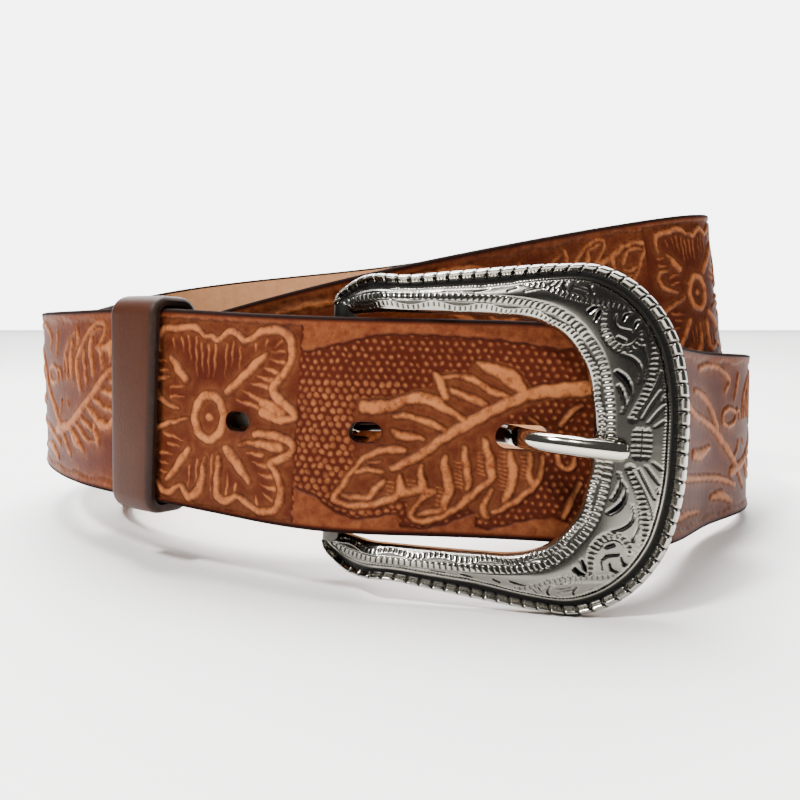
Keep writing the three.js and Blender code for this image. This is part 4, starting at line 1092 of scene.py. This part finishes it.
def add_world():
    """A world that is bright behind the belt and dark in front, where the metal mirrors it."""
    world = bpy.data.worlds.new("studio")
    world.use_nodes = True
    nodes, link = world.node_tree.nodes, world.node_tree.links
    coord, split = nodes.new("ShaderNodeTexCoord"), nodes.new("ShaderNodeSeparateXYZ")
    ramp = nodes.new("ShaderNodeMapRange")
    for key, value in (("From Min", 0.62), ("From Max", 0.86), ("To Min", 0.09), ("To Max", 6.0)):
        ramp.inputs[key].default_value = value
    link.new(coord.outputs["Generated"], split.inputs[0])
    link.new(split.outputs["Y"], ramp.inputs["Value"])
    link.new(ramp.outputs[0], nodes["Background"].inputs["Strength"])
    nodes["Background"].inputs["Color"].default_value = (1, 1, 1, 1)
    bpy.context.scene.world = world


def add_stage():
    mesh = bpy.data.meshes.new("floor")
    mesh.from_pydata([(-3, -3, 0), (3, -3, 0), (3, 3, 0), (-3, 3, 0)], [], [(0, 1, 2, 3)])
    mesh.materials.append(Shade("floor").finish(Base_Color=(0.92, 0.9, 0.88), Roughness=0.6))
    floor = bpy.data.objects.new("floor", mesh)
    bpy.context.scene.collection.objects.link(floor)
    add_world()
    area_light("key", (-0.15, 0.25, 0.9), (0, 0, 0.03), (0.6, 0.6), 29)
    area_light("backdrop", (0, 1.7, 1.7), (0, 1.5, 0), (3, 2), 130)
    area_light("front", (-0.38, -0.5, 0.75), (0, 0, 0.03), (0.12, 0.12), 14)


# Assembly

leather, plain, silver = leather_material(), plain_leather_material(), silver_material()
nickel = metal_material("polished_nickel", (196, 190, 178), .06)
post_metal = metal_material("post_nickel", (190, 186, 176), .25)

heel_centre, _, heel_inward, heel_up = (a[0] for a in at(np.array([START])))
bar_centre = heel_centre + heel_inward * TURN_R
yaw = math.radians(FRAME_YAW)
away_axis = unit(np.cross(heel_up, np.array([math.cos(yaw), math.sin(yaw), 0])))
along_axis = np.cross(away_axis, heel_up)


def in_buckle(x, z, y):
    """Points given along the buckle, up and away from the camera, in the belt's own place."""
    x, z, y = (a[..., None] for a in np.broadcast_arrays(x, z, y))
    return bar_centre + along_axis * x + away_axis * y + heel_up * z


hole_centre, _, _, hole_up = (a[0] for a in at(np.array([HOLES[0][0]])))
to_hole = hole_centre + hole_up * HOLE_DROP - bar_centre
hole = (to_hole @ along_axis, to_hole @ away_axis, to_hole @ heel_up)

offset = find_offset()
# name, both ends along the strap, grid step, and how much coarser the flesh side is
STRAP_LENGTHS = [
    ("strap_front", -62, 46, .25, 3), ("strap_left", 46, TIP_REACH, .5, 2), ("strap_right", -200, -62, .4, 3),
    ("strap_rear", -480, -200, .6, 2), ("strap_raised", -640, -480, .4, 2),
    ("strap_inner", START, -640, .7, 1.5)]
pieces = [(strap_piece(*row, leather, offset), "strap", "tooled_leather") for row in STRAP_LENGTHS]
pieces += [
    (fold_piece(leather, offset), "strap", "tooled_leather"),
    (buckle_piece(in_buckle).finish("buckle_cast", silver, offset), "buckle_frame", "aged_silver"),
    (prong_piece(in_buckle, hole).finish("buckle_prong", nickel, offset), "prong", "polished_nickel"),
    (keeper_piece().finish("keeper_loop", plain, offset), "keeper", "plain_leather")]
for piece, node, slot in pieces:
    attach(piece, "root")
    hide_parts(node)

for node, material in (("fold_post_1", post_metal), ("fold_post_2", post_metal), ("strap", leather),
                       ("keeper", plain), ("buckle_frame", silver), ("prong", nickel)):
    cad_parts[node].data.materials.clear()
    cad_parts[node].data.materials.append(material)

add_camera()
add_stage()
